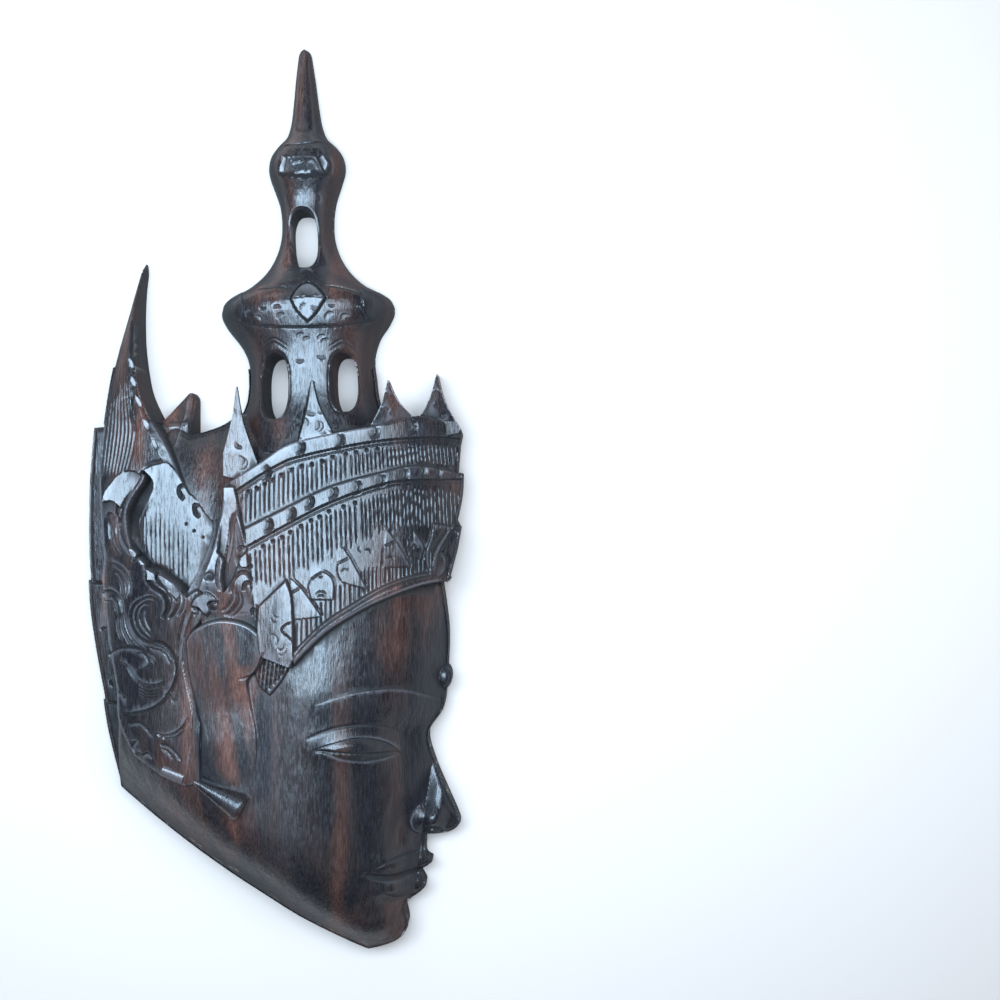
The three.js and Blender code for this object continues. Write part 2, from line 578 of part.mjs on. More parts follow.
function leafOrnament() {
  const outline = curveThrough([
    [-59, 8, 'corner'], [-64, 10.5], [-70, 8], [-76.5, -2.5], [-80, -12], [-80.5, -24, 'corner'],
    [-79.5, -31, 'corner'], [-80, -40], [-78, -50, 'corner'], [-77.5, -58], [-76.5, -69, 'corner'],
    [-74.5, -78], [-71.5, -92.5, 'corner'],
    [-70, -107.5], [-62, -123, 'corner'], [-56, -126.5], [-45, -132], [-35, -135, 'corner'], [-33, -126],
    [-31.5, -112], [-31, -100], [-35.5, -80], [-35.5, -67.5, 'corner'], [-28, -59, 'corner'],
    [-25, -54.5, 'corner'],
    [-28.5, -52], [-24, -51, 'corner'], [-23, -46.5], [-29, -44], [-34, -47, 'corner'], [-40, -41],
    [-48, -36.5, 'corner'], [-49.5, -39, 'corner'], [-50.5, -35, 'corner'], [-55.5, -33], [-60, -29],
    [-62.5, -25.5],
    [-66, -18.5], [-67.5, -10], [-64.5, -2], [-60, 3],
  ], 2);
  return layer(outline, leafHeight, 15);
}

// The leaf's carved lines: stems, one volute and the arcs of its lower lobes
function leafCuts() {
  const eye = new THREE.Vector2(-55, -54); // the volute's centre
  const volute = Array.from({ length: 12 }, (_, i) => {
    const [angle, reach] = [0.4 + (i / 11) * 2.4 * Math.PI, 9.5 - 0.55 * i];
    return new THREE.Vector2(reach * Math.cos(angle), reach * Math.sin(angle)).add(eye);
  });
  const lines = [
    [[-76, -10], [-74, -28], [-68, -42], [-65, -52]],
    [[-70, -8], [-71, -24], [-63, -38], [-58, -42]],
    [[-76, -50], [-72, -62], [-62, -68], [-50, -69]],
    [[-75, -77], [-64, -72], [-46, -74], [-43, -83], [-47, -93], [-57, -99], [-68, -103]],
    [[-70, -83], [-63, -86], [-57, -92], [-50, -89]],
    [[-64, -108], [-57, -110.5], [-53, -115]],
    [[-51, -112], [-44, -111.5], [-38, -106]],
    [[-39, -50], [-34, -53], [-30, -60]],
  ];
  const curves = lines.map((line) => curveThrough(line, line.length > 5 ? 1 : 2));
  return [volute, ...curves].map((line) => wedge(line, 2.4, 1.3));
}

// Little gabled shapes standing in a row above the headband's rim
function bandMotifs() {
  const feet = [[28, -43], [40, -35], [53, -29], [66, -25.5]];
  return joinAll(feet.map(([x, y]) => {
    const gable = vectors([[x - 4.5, y - 3], [x + 5, y + 1], [x - 1, y + 10]]);
    return layer(gable, (px, py) => bandHeight(px, py) + 4.2, 12);
  }));
}

function carveMask() {
  const body = joinAll([
    backLayer(), head(), tower(), towerOrnament(), spikes(), headband(), templeLeaves(), ear(), earPin(),
    wing(), horn(), leafOrnament(), bandMotifs(),
  ]);
  const carved = cutAll(body, [
    ...towerCuts(), ...headbandCuts(), ...wingCuts(), ...leafCuts(), ...faceCuts(),
  ]);
  const inFrontOfWall = new THREE.BoxGeometry(400, 800, THROUGH);
  inFrontOfWall.translate(0, 0, THROUGH / 2);
  return carved.intersect(solid(inFrontOfWall));
}

// Closes up edges shorter than the given length, where that leaves the surface closed
function withoutShortEdges(geometry, shortest) {
  const { position } = geometry.attributes;
  const { index } = geometry;
  const corners = Array.from({ length: position.count }, (_, i) =>
    new THREE.Vector3().fromBufferAttribute(position, i));
  let faces = Array.from({ length: index.count / 3 }, (_, i) =>
    [0, 1, 2].map((corner) => index.getX(3 * i + corner)));
  const around = corners.map(() => new Set());
  for (const face of faces) face.forEach((corner) => around[corner].add(face));
  const neighbours = (corner) => new Set([...around[corner]].flat().filter((other) => other !== corner));
  for (const face of faces) {
    for (const side of [0, 1, 2]) {
      const [kept, gone] = [face[side], face[(side + 1) % 3]];
      if (kept === gone || corners[kept].distanceTo(corners[gone]) > shortest) continue;
      const beside = neighbours(gone);
      const shared = [...neighbours(kept)].filter((corner) => beside.has(corner));
      if (!around[kept].has(face) || shared.length !== 2) continue;
      for (const moved of [...around[gone]]) {
        if (moved.includes(kept)) {
          moved.forEach((corner) => around[corner].delete(moved));
          moved.closed = true;
        } else {
          moved[moved.indexOf(gone)] = kept;
          around[kept].add(moved);
        }
      }
      around[gone].clear();
      break;
    }
  }
  faces = faces.filter((face) => !face.closed);
  const used = [...new Set(faces.flat())];
  const renumbered = new Map(used.map((corner, index) => [corner, index]));
  const result = new THREE.BufferGeometry().setFromPoints(used.map((corner) => corners[corner]));
  result.setIndex(faces.flat().map((corner) => renumbered.get(corner)));
  return result;
}

function meshFrom(manifold) {
  const { vertProperties, triVerts } = manifold.getMesh();
  const joined = new THREE.BufferGeometry();
  joined.setAttribute('position', new THREE.Float32BufferAttribute(vertProperties, 3));
  joined.setIndex(Array.from(triVerts));
  const geometry = withoutShortEdges(joined, SHORTEST_EDGE);
  geometry.computeBoundingBox();
  const { min, max } = geometry.boundingBox;
  geometry.translate(-(min.x + max.x) / 2, -(min.y + max.y) / 2, -min.z);
  geometry.computeVertexNormals();
  return geometry;
}

const ebony = new THREE.MeshStandardMaterial({ color: 0x2a1b17, roughness: 0.42, metalness: 0 });
const mask = new THREE.Mesh(meshFrom(carveMask()), ebony);
mask.name = 'mask';

const group = new THREE.Group();
group.add(mask);
export default group;
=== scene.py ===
import bmesh
import bpy
import numpy as np
from mathutils import Matrix, Vector


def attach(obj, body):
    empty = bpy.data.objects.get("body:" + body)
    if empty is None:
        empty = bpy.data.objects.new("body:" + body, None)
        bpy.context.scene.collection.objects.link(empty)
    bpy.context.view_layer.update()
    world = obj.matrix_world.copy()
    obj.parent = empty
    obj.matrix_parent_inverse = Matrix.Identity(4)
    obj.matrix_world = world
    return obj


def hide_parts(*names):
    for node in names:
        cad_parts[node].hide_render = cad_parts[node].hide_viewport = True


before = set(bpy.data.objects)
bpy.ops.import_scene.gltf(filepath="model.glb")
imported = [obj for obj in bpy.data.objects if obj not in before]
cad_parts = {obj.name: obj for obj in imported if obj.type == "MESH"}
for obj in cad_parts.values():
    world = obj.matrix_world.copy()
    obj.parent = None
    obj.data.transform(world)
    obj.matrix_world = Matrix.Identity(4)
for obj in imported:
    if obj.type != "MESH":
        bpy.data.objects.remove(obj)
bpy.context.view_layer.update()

# The block: one plank of dark ebony, sawn flat at the back, that the whole mask is carved from.
# Its front is a fine field of heights in millimetres over the plank. Each layer of the carving
# raises the field inside its outline, and each gouge cut lowers it along its path.
CELL = 0.36
columns = np.arange(-93.0, 92.2, CELL)
rows = np.arange(-222.6, 222.6, CELL)
X, Y = np.meshgrid(columns, rows)
top = np.full(X.shape, -1.0)
cover = np.zeros(X.shape)  # 1 where there is wood
cut_shade = np.zeros(X.shape)  # 1 in the bottom of a cut, where shade is painted and the wood is duller
painted_glints = np.zeros(X.shape)  # 1 on a raised edge, where a highlight is painted and the wood is glossier
footprints = []  # the outlines that together make the mask's own outline
chance = np.random.default_rng(7)


# The back plates: the edge of the headdress behind the ear, three lapped plates left low and plain.
# They are sawn to the wall side and only rounded over along their outer edge.
def curve_through(points, steps=6):
    """A smooth run through given points; a third value marks a sharp corner."""
    path, run = [], []
    for index, point in enumerate(points):
        run.append(np.array(point[:2], float))
        ends = len(point) > 2 or index == len(points) - 1
        if not ends or len(run) < 2:
            continue
        held = [run[0], *run, run[-1]]
        for before, a, b, after in zip(held, held[1:], held[2:], held[3:]):
            leave, arrive = (b - before) / 2, (after - a) / 2
            for t in np.arange(steps) / steps:
                cubic = (2 * a - 2 * b + leave + arrive) * t**3
                path.append(cubic + (3 * b - 3 * a - 2 * leave - arrive) * t**2 + leave * t + a)
        run = run[-1:]
    return np.array(path + [run[-1]])


def patch_around(path, margin):
    """The part of the plank around a path."""
    low, high = path.min(0) - margin, path.max(0) + margin
    return (slice(*np.searchsorted(rows, [low[1], high[1]])),
            slice(*np.searchsorted(columns, [low[0], high[0]])))


def from_path(path, x, y):
    """Distance to a path, which side of it (left is plus), and how far along, from 0 to 1."""
    nearest, side, along = np.full(x.shape, np.inf), np.ones(x.shape), np.zeros(x.shape)
    run = 0.0
    for a, b in zip(path, path[1:]):
        step = b - a
        length = np.hypot(*step)
        if length == 0:
            continue
        t = np.clip(((x - a[0]) * step[0] + (y - a[1]) * step[1]) / length**2, 0, 1)
        away_x, away_y = x - a[0] - t * step[0], y - a[1] - t * step[1]
        gap = np.hypot(away_x, away_y)
        closer = gap < nearest
        nearest[closer] = gap[closer]
        side[closer] = np.sign(step[0] * away_y - step[1] * away_x)[closer]
        along[closer] = run + (t * length)[closer]
        run += length
    return nearest, side, along / run


def depth_inside(outline, x, y):
    """How far inside an outline each place lies; outside it is negative."""
    ring = np.vstack([outline, outline[:1]])
    inside = np.zeros(x.shape, bool)
    for (ax, ay), (bx, by) in zip(ring, ring[1:]):
        if ay != by:
            inside ^= ((ay > y) != (by > y)) & (x < ax + (y - ay) / (by - ay) * (bx - ax))
    return np.where(inside, 1, -1) * from_path(ring, x, y)[0]


def clamp(value):
    return np.clip(value, 0, 1)


def at_least(marks, patch, value):
    marks[patch] = np.maximum(marks[patch], value)


def raise_over(outline, height, arris=1.2, soft=0.45, footprint=False):
    """Lays a layer over an outline; a plain number raises what is already there."""
    patch = patch_around(outline, 2)
    x, y = X[patch], Y[patch]
    depth = depth_inside(outline, x, y)
    worn = arris - np.sqrt(np.maximum(0, arris**2 - np.clip(arris - depth, 0, arris) ** 2))
    target = (height(x, y) if callable(height) else top[patch] + height) - worn
    share = clamp(0.5 + depth / (2 * soft))
    # A layer laid over them clears the painted shade and painted highlights beneath.
    for marks in (cut_shade, painted_glints):
        marks[patch] *= 1 - share * (target > top[patch])
    top[patch] += share * np.maximum(0, target - top[patch])
    if footprint:
        footprints.append(outline)
        at_least(cover, patch, clamp(0.5 + depth / CELL))


for height, edge in [
    (15, [(-89.5, 33), (-91.5, 7), (-92, -22), (-91, -41, 1), (-90.8, -44)]),
    (13, [(-93, -42), (-92, -56.5), (-89, -76), (-84.5, -99, 1), (-84, -103)]),
    (11, [(-86, -101), (-83.5, -115.5), (-78.5, -135), (-76, -143)]),
]:
    plate = np.vstack([curve_through(edge), [(-40, edge[-1][1] - 4), (-40, edge[0][1] + 3)]])
    raise_over(plate, lambda x, y: height - 0.16 * (-76 - x), arris=3.0, footprint=True)

# The head: a half head in the round, smooth and waxed, its lower edge sawn in one long curve.
# The face is of a calm plain kind, on even thirds from hairline to chin.
EDGE, RISE = 11, 40
HAIRLINE = np.array([85.0, -43.0])
BOW = np.radians(8)
FACE_HEIGHT = 183.0
THIRD = FACE_HEIGHT / 3
NOSE_BASE = 2 * THIRD
MOUTH_LINE = NOSE_BASE + THIRD / 3
EYE = (-30.0, THIRD + 19)
NAPE = np.array([-76.0, -143.0])


def dome(t):
    return 1 - (1 - clamp(t)) ** 2.6


def smooth_step(low, high, value):
    t = clamp((value - low) / (high - low))
    return t * t * (3 - 2 * t)


def bump(x, y, reach_x, reach_y):
    return np.exp(-((x / reach_x) ** 2) - (y / reach_y) ** 2)


def face_point(ahead, down):
    return HAIRLINE + [ahead * np.cos(BOW) - down * np.sin(BOW), -ahead * np.sin(BOW) - down * np.cos(BOW)]


def to_face(x, y):
    x, y = x - HAIRLINE[0], y - HAIRLINE[1]
    return x * np.cos(BOW) - y * np.sin(BOW), -x * np.sin(BOW) - y * np.cos(BOW)


CHIN = face_point(-14, FACE_HEIGHT)
JAW_PULL = np.array([-8.0, -196.0])


def jaw_point(t):
    return (1 - t) ** 2 * NAPE + 2 * t * (1 - t) * JAW_PULL + t * t * CHIN


def jaw_line(x):
    t = clamp((x - NAPE[0]) / (CHIN[0] - NAPE[0]))
    return (1 - t) ** 2 * NAPE[1] + 2 * t * (1 - t) * JAW_PULL[1] + t * t * CHIN[1]


def head_height(x, y):
    ahead, down = to_face(x, y)
    front = dome((4 - np.where(down < 0, ahead - 3, ahead)) / 82)
    back = dome((x + 96) / 95)
    jaw = dome((y - jaw_line(x) + 2) / 58)
    temple = 0.3 * smooth_step(-50, -10, y) * smooth_step(-10, 30, -x)
    swell = 2.4 * smooth_step(48, 96, -y) * smooth_step(-8, 18, x) * front
    return EDGE + RISE * front * back * jaw * dome((50 - y) / 90) * (1 - temple) + swell


def face_height(x, y):
    a, d = to_face(x, y)
    forms = [
        1.6 * bump(a + 20, d - THIRD + 1, 26, 9),
        -4.5 * bump(a + 12, d - THIRD - 16, 14, 14),
        3.4 * bump(a - EYE[0], d - EYE[1], 14, 6.5),
        7 * bump(a - 7, d - NOSE_BASE + 7, 7, 6.5),
        5 * bump(a - 10, d - NOSE_BASE + 16, 6, 14),
        -2.5 * bump(a + 7, d - NOSE_BASE + 4, 4, 12),
        5 * bump(a + 4, d - MOUTH_LINE + 6, 13, 5),
        5 * bump(a + 4, d - MOUTH_LINE - 6, 11, 5),
        -2.5 * bump(a + 2, d - MOUTH_LINE - 16, 12, 5),
        4 * bump(a + 10, d - FACE_HEIGHT + 16, 14, 11),
    ]
    return head_height(x, y) + sum(forms)


skull_edge = curve_through([
    (-70, -90), (-62, -40), (-52, 27), (-39, 28.5, 1), (-31, 31), (-23.5, 34), (-14, 40), (0, 41, 1),
    (22, 40),
])
jaw_edge = np.array([jaw_point(t) for t in np.linspace(0, 1, 60)])
face_edge = np.array([face_point(*place) for place in curve_through([
    (-3, 0), (3, 22), (5.5, 44), (6, THIRD), (0.5, THIRD + 13), (6, THIRD + 28), (20, NOSE_BASE - 10),
    (21.5, NOSE_BASE - 5), (17, NOSE_BASE - 0.5), (6, NOSE_BASE + 1.5, 1), (7.5, NOSE_BASE + 12),
    (11, MOUTH_LINE - 5.5), (5, MOUTH_LINE, 1), (9.5, MOUTH_LINE + 6), (6, MOUTH_LINE + 11.5),
    (1, MOUTH_LINE + 17), (3.5, MOUTH_LINE + 27), (-1, FACE_HEIGHT - 6), (-14, FACE_HEIGHT),
], 8)])
head_edge = np.vstack([skull_edge, [(86, 28), (88, -30)], face_edge, jaw_edge[::-1][1:]])
raise_over(head_edge, face_height, arris=3.0, footprint=True)


def around(count):
    """Angles evenly round a circle."""
    return np.linspace(0, 2 * np.pi, count + 1)[:-1]


jewel = face_point(4, THIRD - 15)
raise_over(jewel + np.c_[4 * np.cos(around(24)), 6 * np.sin(around(24))],
           lambda x, y: 9 + 6 * np.sqrt(clamp(1 - ((x - jewel[0]) / 4) ** 2 - ((y - jewel[1]) / 6) ** 2)),
           arris=0.01, footprint=True)


def smoothed(path):
    """A list of given points becomes a smooth run; an array is a path already."""
    return curve_through(path) if isinstance(path, list) else path


def groove(path, width=1.2, depth=0.8, taper=0.25, dark=1.0):
    """A V-gouge cut along a path, running out at its ends."""
    path = smoothed(path)
    patch = patch_around(path, width + 1)
    gap, _, along = from_path(path, X[patch], Y[patch])
    ends = clamp(np.minimum(along, 1 - along) / taper) ** 0.6 if taper else 1
    top[patch] -= depth * ends * clamp(1 - 2 * gap / width) ** 0.7
    # Shade is painted into the bottom of the cut.
    at_least(cut_shade, patch, dark * ends * clamp(1.5 - 3.8 * gap / width))


def sweep(path, width, depth, left=True, taper=0.2, dark=1.0):
    """A stop cut along a path with the wood sloped down to it from one side."""
    path = smoothed(path)
    patch = patch_around(path, width + 1)
    gap, side, along = from_path(path, X[patch], Y[patch])
    reach = gap * side * (1 if left else -1)
    ends = clamp(np.minimum(along, 1 - along) / taper) ** 0.6 if taper else 1
    slope = clamp(1 - np.maximum(reach, 0) / width)
    top[patch] -= depth * ends * slope * clamp((reach + 0.25) / 0.4)
    # Shade is painted into the cut, and a highlight along the edge on its high side.
    at_least(cut_shade, patch, dark * ends * clamp(1.2 - np.abs(reach - 0.2) / 0.45))
    at_least(painted_glints, patch, ends * clamp(1.25 - np.abs(reach + 0.6) / 0.45))


def face_path(*places):
    return np.array([face_point(*place) for place in curve_through(places)])


upper_lid = face_path((-11, EYE[1] + 3), (-20, EYE[1] - 3), (-33, EYE[1] - 4.5), (-50, EYE[1] + 2))
lower_lid = face_path((-12, EYE[1] + 3.4), (-22, EYE[1] + 6), (-34, EYE[1] + 6), (-46, EYE[1] + 3))
lash = face_path((-12, EYE[1] + 2.8), (-22, EYE[1] + 2.8), (-33, EYE[1] + 2.6), (-49, EYE[1] + 2.6))
sweep(upper_lid, 3, 0.9, left=True)
sweep(lower_lid, 3, 0.7, left=False)
groove(lash, 1.6, 1.0)
groove(face_path((-10, EYE[1] - 6), (-24, EYE[1] - 10.5), (-40, EYE[1] - 9), (-54, EYE[1] - 2)),
       2.2, 0.7, 0.4)
sweep(face_path((4, THIRD - 4), (-14, THIRD - 9), (-34, THIRD - 7), (-52, THIRD + 1)), 6, 0.7, left=False,
      taper=0.5)
mouth = face_path((12, MOUTH_LINE), (2, MOUTH_LINE - 0.8), (-8, MOUTH_LINE + 0.6), (-21, MOUTH_LINE - 1.6))
groove(mouth, 3.6, 2.6, 0.3)
groove(face_path((9, MOUTH_LINE - 8.5), (-2, MOUTH_LINE - 10.5), (-19, MOUTH_LINE - 3)), 1.8, 0.7, 0.4)
groove(face_path((5, MOUTH_LINE + 11), (-4, MOUTH_LINE + 11), (-17, MOUTH_LINE + 2)), 1.8, 0.6, 0.4)
sweep(face_path((4, NOSE_BASE + 2), (-1, NOSE_BASE - 1), (-2.5, NOSE_BASE - 7), (1, NOSE_BASE - 13)), 4, 1.6,
      left=True, taper=0.4)
groove(face_path((15, NOSE_BASE - 1), (9, NOSE_BASE - 3), (4, NOSE_BASE - 1)), 3.0, 1.8, 0.4)

# The crown tower: two bulbs and a spire, turned in shape but carved flat-backed from the same block,
# pierced by three windows and cut with rings, petals, a lozenge and single gouge marks.
TOWER_PROFILE = [
    (0, 222), (2.4, 220.5), (3.4, 217), (5, 205), (6.2, 194), (7.6, 184), (10.2, 176.5), (15, 171.5),
    (18.2, 166), (18.7, 159.5), (16.6, 152.5), (14, 144.5), (12.8, 136), (13.2, 126.5), (16, 117.5),
    (21.5, 109), (29.5, 102), (39, 97), (42.2, 93), (42.6, 88.5), (40, 83), (34.8, 75.5), (31.5, 67),
    (31.2, 57), (32.5, 46), (36, 36), (37, 20),
]
TOWER_THICKNESS = curve_through([
    (20, 40), (44, 34), (60, 33), (72, 33.5), (90, 37), (100, 33), (112, 24), (130, 21.5), (145, 20.7),
    (162, 27), (174, 18), (182, 13), (207, 8), (222, 4),
])
TOWER_CENTRE = np.array([(20, 18.5), (58, 17.5), (78, 14.8), (150, 14.4), (222, 12.7)])
TOWER_TILT = np.array([(60, 0), (90, 0.035), (150, 0.07), (175, 0.07), (200, 0)])
WINDOWS = [(14.8, 124, 6.8, 14.6, 0.06), (2.6, 51.8, 6.8, 15.8, 0), (35.2, 53.8, 6.1, 14.2, 0.04)]
tower_edge = curve_through(TOWER_PROFILE)[::-1]


def tower_place(across, y):
    return np.c_[np.interp(y, *TOWER_CENTRE.T) + across, y + across * np.interp(y, *TOWER_TILT.T)]


def tower_height(x, y):
    centre = np.interp(y, *TOWER_CENTRE.T)
    level = y - (x - centre) * np.interp(y, *TOWER_TILT.T)
    half = np.maximum(np.interp(level, tower_edge[:, 1], tower_edge[:, 0]), 0.4)
    round_off = np.sqrt(np.maximum(0, 1 - np.abs((x - centre) / half) ** 2.5))
    return np.maximum(1.6, np.interp(level, *TOWER_THICKNESS.T) * round_off)


def top_at(x, y):
    return top[np.searchsorted(rows, y), np.searchsorted(columns, x)]


def share_inside(outline, margin, soft, start=0.5):
    """The part of the plank around an outline, and how far each place in it is inside, from 0 to 1."""
    patch = patch_around(outline, margin)
    return patch, clamp(start + depth_inside(outline, X[patch], Y[patch]) / soft)


def facet(outline, height, fall_x=0.0, fall_y=0.0, soft=0.5, painted_shine=0.0):
    """One flat pare with the chisel: the height is the one at the outline's middle. Painted shade under it is
    cleared, and the last number is the strength of a highlight painted over it.
    """
    outline = smoothed(outline)
    patch, inside = share_inside(outline, 1, soft)
    x, y = (outline.min(0) + outline.max(0)) / 2
    plane = height - fall_x * (X[patch] - x) - fall_y * (Y[patch] - y)
    top[patch] += inside * (plane - top[patch])
    cut_shade[patch] *= 1 - inside
    painted_glints[patch] = np.maximum(painted_glints[patch] * (1 - inside), painted_shine * inside)


def arc(x, y, radius, facing, opening):
    turn = np.radians(facing + np.linspace(-opening / 2, opening / 2, 11))
    return np.c_[x + radius * np.cos(turn), y + radius * np.sin(turn)]


def crescent(x, y, radius=2.0, facing=0, depth=0.9, opening=170, outside=False):
    """One push of a round gouge: a curved wall on the side it faces, sloping up to the other."""
    sweep(arc(x, y, radius, facing, opening), radius * 0.9, depth, left=not outside, taper=0.35)


def crescents(marks, depth):
    for (x, y), radius, facing in marks:
        crescent(x, y, radius, facing, depth)


tower_outline = np.vstack([
    tower_place(tower_edge[:, 0], tower_edge[:, 1]),
    tower_place(-tower_edge[::-1, 0], tower_edge[::-1, 1])[1:],
])
raise_over(tower_outline, tower_height, arris=0.01, footprint=True)
window_rims = []
for x, y, half_width, half_height, lean in WINDOWS:
    across, up = (np.sign(f) * np.abs(f) ** 0.75 for f in (np.cos(around(48)), np.sin(around(48))))
    window_rims.append(np.c_[x + half_width * across - lean * half_height * up, y + half_height * up])
    patch = patch_around(window_rims[-1], 4)
    gap = -depth_inside(window_rims[-1], X[patch], Y[patch])
    top[patch] -= 1.4 * clamp(1 - np.maximum(gap, 0) / 1.8) ** 2

for x in (2.6, 35.2):
    for lift in (0, 2):  # a double arch over each low window
        groove([(x - 6.5, 68.5 + lift), (x, 72.5 + lift), (x + 6.5, 68.5 + lift)], 1.0, 0.6)
RINGS = [
    [(2.6, 155.2), (8.3, 153.7), (18.2, 153.1), (27.4, 155.4)],
    [(4.4, 169.3), (15.7, 169.7), (24.9, 172)],
    [(-14.2, 81.8), (0.7, 79.7), (18.4, 79.4), (33.7, 80.3), (48.3, 83.5)],
    [(-5.8, 98), (3.1, 98.5), (10.9, 98)],
    [(26.8, 99.3), (33.6, 98.7), (44.1, 96.2)],
]
for ring_path in RINGS:
    groove(ring_path, 1.4, 0.9, 0.08)
lozenge = curve_through([
    (11.3, 92.4, 1), (14.3, 97.9), (18.7, 100.6), (23.5, 98.2), (27.7, 93, 1), (23.6, 86.3),
    (19.2, 81.7, 1), (14.3, 86.6), (11.3, 92.4),
], 3)
patch, inside = share_inside(lozenge, 2, 0.5, 0)
middle = (19.3, 92.9)
below = middle[1] - Y[patch]
tilt = np.where(below < 0, 0.45, -0.10) * below
top[patch] += inside * (tower_height(*middle) + 1.2 + tilt - top[patch])
# A highlight is painted on the lower half of the lozenge, the part tipped towards the light.
at_least(painted_glints, patch, 0.5 * inside * (below > 0))
groove(np.vstack([lozenge, lozenge[:1]]), 1.3, 1.3, 0)
groove(np.array([(11.3, 92.4), (19.3, 93.4), (27.7, 93)]), 0.9, 0.5, 0.05)
crescent(17.6, 88, 2.0, 140, 0.5)
crescent(23.2, 89, 2.4, 260, 0.5)
centre = np.array([(7.6, 161.9), (21.9, 162.1), (24.9, 155.4), (5.4, 154.6)])
facet(centre, top_at(*centre.mean(0)), 0.0, -0.5, 1.0)
# Upper bulb: slanting facets to either side of a flat scale, all stopped on one line, each with a
# painted highlight.
for slant, lean in (
    ([(5.1, 163.1), (8.1, 161.4), (6, 155.1), (3.5, 155.2)], 0.15),
    ([(11.5, 154.2), (15.6, 156.4), (16.3, 154.2)], 0.0),
    ([(21.9, 162.1), (24.7, 164), (27.3, 159.8), (25.6, 155.7)], -0.1),
    ([(16.3, 154.2), (18.5, 156.8), (19.3, 154.5)], 0.0),
):
    slant = np.array(slant)
    facet(slant, top_at(*slant.mean(0)) + 0.2, lean, -0.14, 0.5, 0.5)
for petal in (
    [(10, 158.6), (11.6, 160.2), (13.4, 161.2), (15.5, 159.7)],
    [(17.7, 159.4), (19.6, 160.9), (21.8, 159.4), (23.7, 155.6)],
    [(9.7, 161.7), (12.1, 160.1), (15.6, 161.4)],
    [(6.1, 162.1), (4.1, 158.1), (3.2, 154.8)],
    [(27.2, 164.1), (28.5, 159.6), (27.4, 155.8)],
):
    sweep(curve_through(petal, 4), 1.6, 0.5, left=False, dark=0.6)
for cap in (
    [(6, 163.2, 1), (8.5, 167.6), (12.2, 165.2), (12.9, 160.9, 1), (9.7, 161.7), (6, 163.2)],
    [(13.8, 162.4, 1), (15, 166.7), (19.2, 167), (21, 162, 1), (17.8, 160.3), (13.8, 162.4)],
    [(21.9, 162.6, 1), (21.9, 167.5), (24.8, 168.9), (26.7, 164.5, 1), (24.3, 163.1), (21.9, 162.6)],
):
    raise_over(curve_through(cap, 4), 0.5, arris=1.0)
for side_leaf in (
    [(-27.6, 93.5, 1), (-25.1, 101.2), (-15.8, 100.3, 1), (-11.7, 89.1), (-13.6, 82.1, 1), (-21.8, 86),
     (-27.6, 93.5)],
    [(42.5, 98.8, 1), (48.4, 99.2), (54.5, 94.7), (54.3, 87.3), (47.8, 83.4, 1), (44.8, 89.5), (42.5, 98.8)],
):
    raise_over(curve_through(side_leaf, 4), 1.2, arris=1.2)
raise_over(curve_through([
    (42.1, 89.8, 1), (44.4, 90.9, 1), (47.6, 85.1, 1), (45.7, 83.5, 1), (42.1, 89.8),
], 3), 1.1, arris=0.5)
crescents([
    ((4.8, 87.6), 2.2, 90), ((-2.2, 88.9), 1.7, 270), ((-4.8, 83.2), 2.0, 60), ((6.6, 83.8), 2.2, 120),
    ((29.7, 84), 2.6, 130), ((36.6, 83.8), 2.4, 120), ((30.5, 90.3), 1.8, 270),
    ((-9.2, 85.2), 1.6, 120), ((15.6, 74.8), 2.0, 120), ((18.4, 73), 2.0, 110),
    ((25.4, 74.1), 2.0, 115), ((27.1, 72.3), 2.0, 110), ((15, 64.5), 2.2, 270), ((25.2, 66.5), 2.2, 270),
    ((21.1, 144.3), 1.6, 0), ((17.1, 127.8), 1.2, 200), ((17.3, 106), 2.2, 90),
], 0.6)


# The crown's four spikes: pointed leaves standing off the band's upper rim, their tips free of the wood
# behind. Their fronts are carved as the rest is, and they are sawn out as blades of their own.
BLADES = [
    # tip, left foot, right foot, how far the right foot reaches down into the band, height at the foot,
    # underside, fall towards the tip, fall from the ridge
    ((-13.6, 53), (-19.5, 19), (-3.5, 15), 10, 42, 38, 0.06, 0.08),
    ((22.5, 54.5), (16.5, 25), (32, 29), 10, 46, 39, 0.03, 0.04),
    ((56.5, 55.5), (48, 31.5), (72, 34), 2, 37.5, 20, 0.34, 0.35),
    ((79.3, 60), (70, 35.5), (91, 32), 2, 25, -2, 0.34, 0.35),
]
groove(np.array([(15.6, 24), (18.6, 40), (21.4, 54)]), 2.4, 0.8, 0.05)
body_top, top = top, np.full(X.shape, -1.0)
blade_outlines = []
for tip, left_foot, right_foot, reach_down, height, _, fall, shed in BLADES:
    hollows = [(tip[0] + (x - tip[0]) * 0.33, (tip[1] + y) / 2) for x, y in (left_foot, right_foot)]
    blade_outlines.append(curve_through([
        (*left_foot, 1), hollows[0], (*tip, 1), hollows[1], (*right_foot, 1),
        (right_foot[0] - 1, right_foot[1] - reach_down, 1), (left_foot[0], left_foot[1] - 10),
    ]))

    def blade_height(x, y):
        down = clamp((tip[1] - y) / (tip[1] - left_foot[1]))
        ridge = tip[0] + ((left_foot[0] + right_foot[0]) / 2 - tip[0]) * down
        return height - fall * np.maximum(0, y - left_foot[1]) - shed * np.abs(x - ridge)

    raise_over(blade_outlines[-1], blade_height, arris=0.5, soft=0.2)
crescents([
    ((-11.8, 23.7), 2.4, 230), ((-11.8, 23.3), 1.5, 240), ((-11.7, 15.7), 2.4, 20), ((-11.2, 14.8), 3.2, 330),
    ((22.5, 38.9), 2.4, 250), ((26.7, 39.1), 1.6, 280), ((18.8, 33.3), 2.4, 40), ((24, 32.4), 2.4, 350),
    ((25.4, 31.9), 2.6, 350), ((56.1, 47.2), 1.6, 100), ((55.2, 40), 1.8, 60), ((59.1, 39), 1.6, 200),
    ((79.1, 49.6), 1.4, 80), ((79.6, 43.3), 1.8, 200), ((82.5, 38.4), 1.6, 300),
], 0.45)
blade_top, top = top, body_top


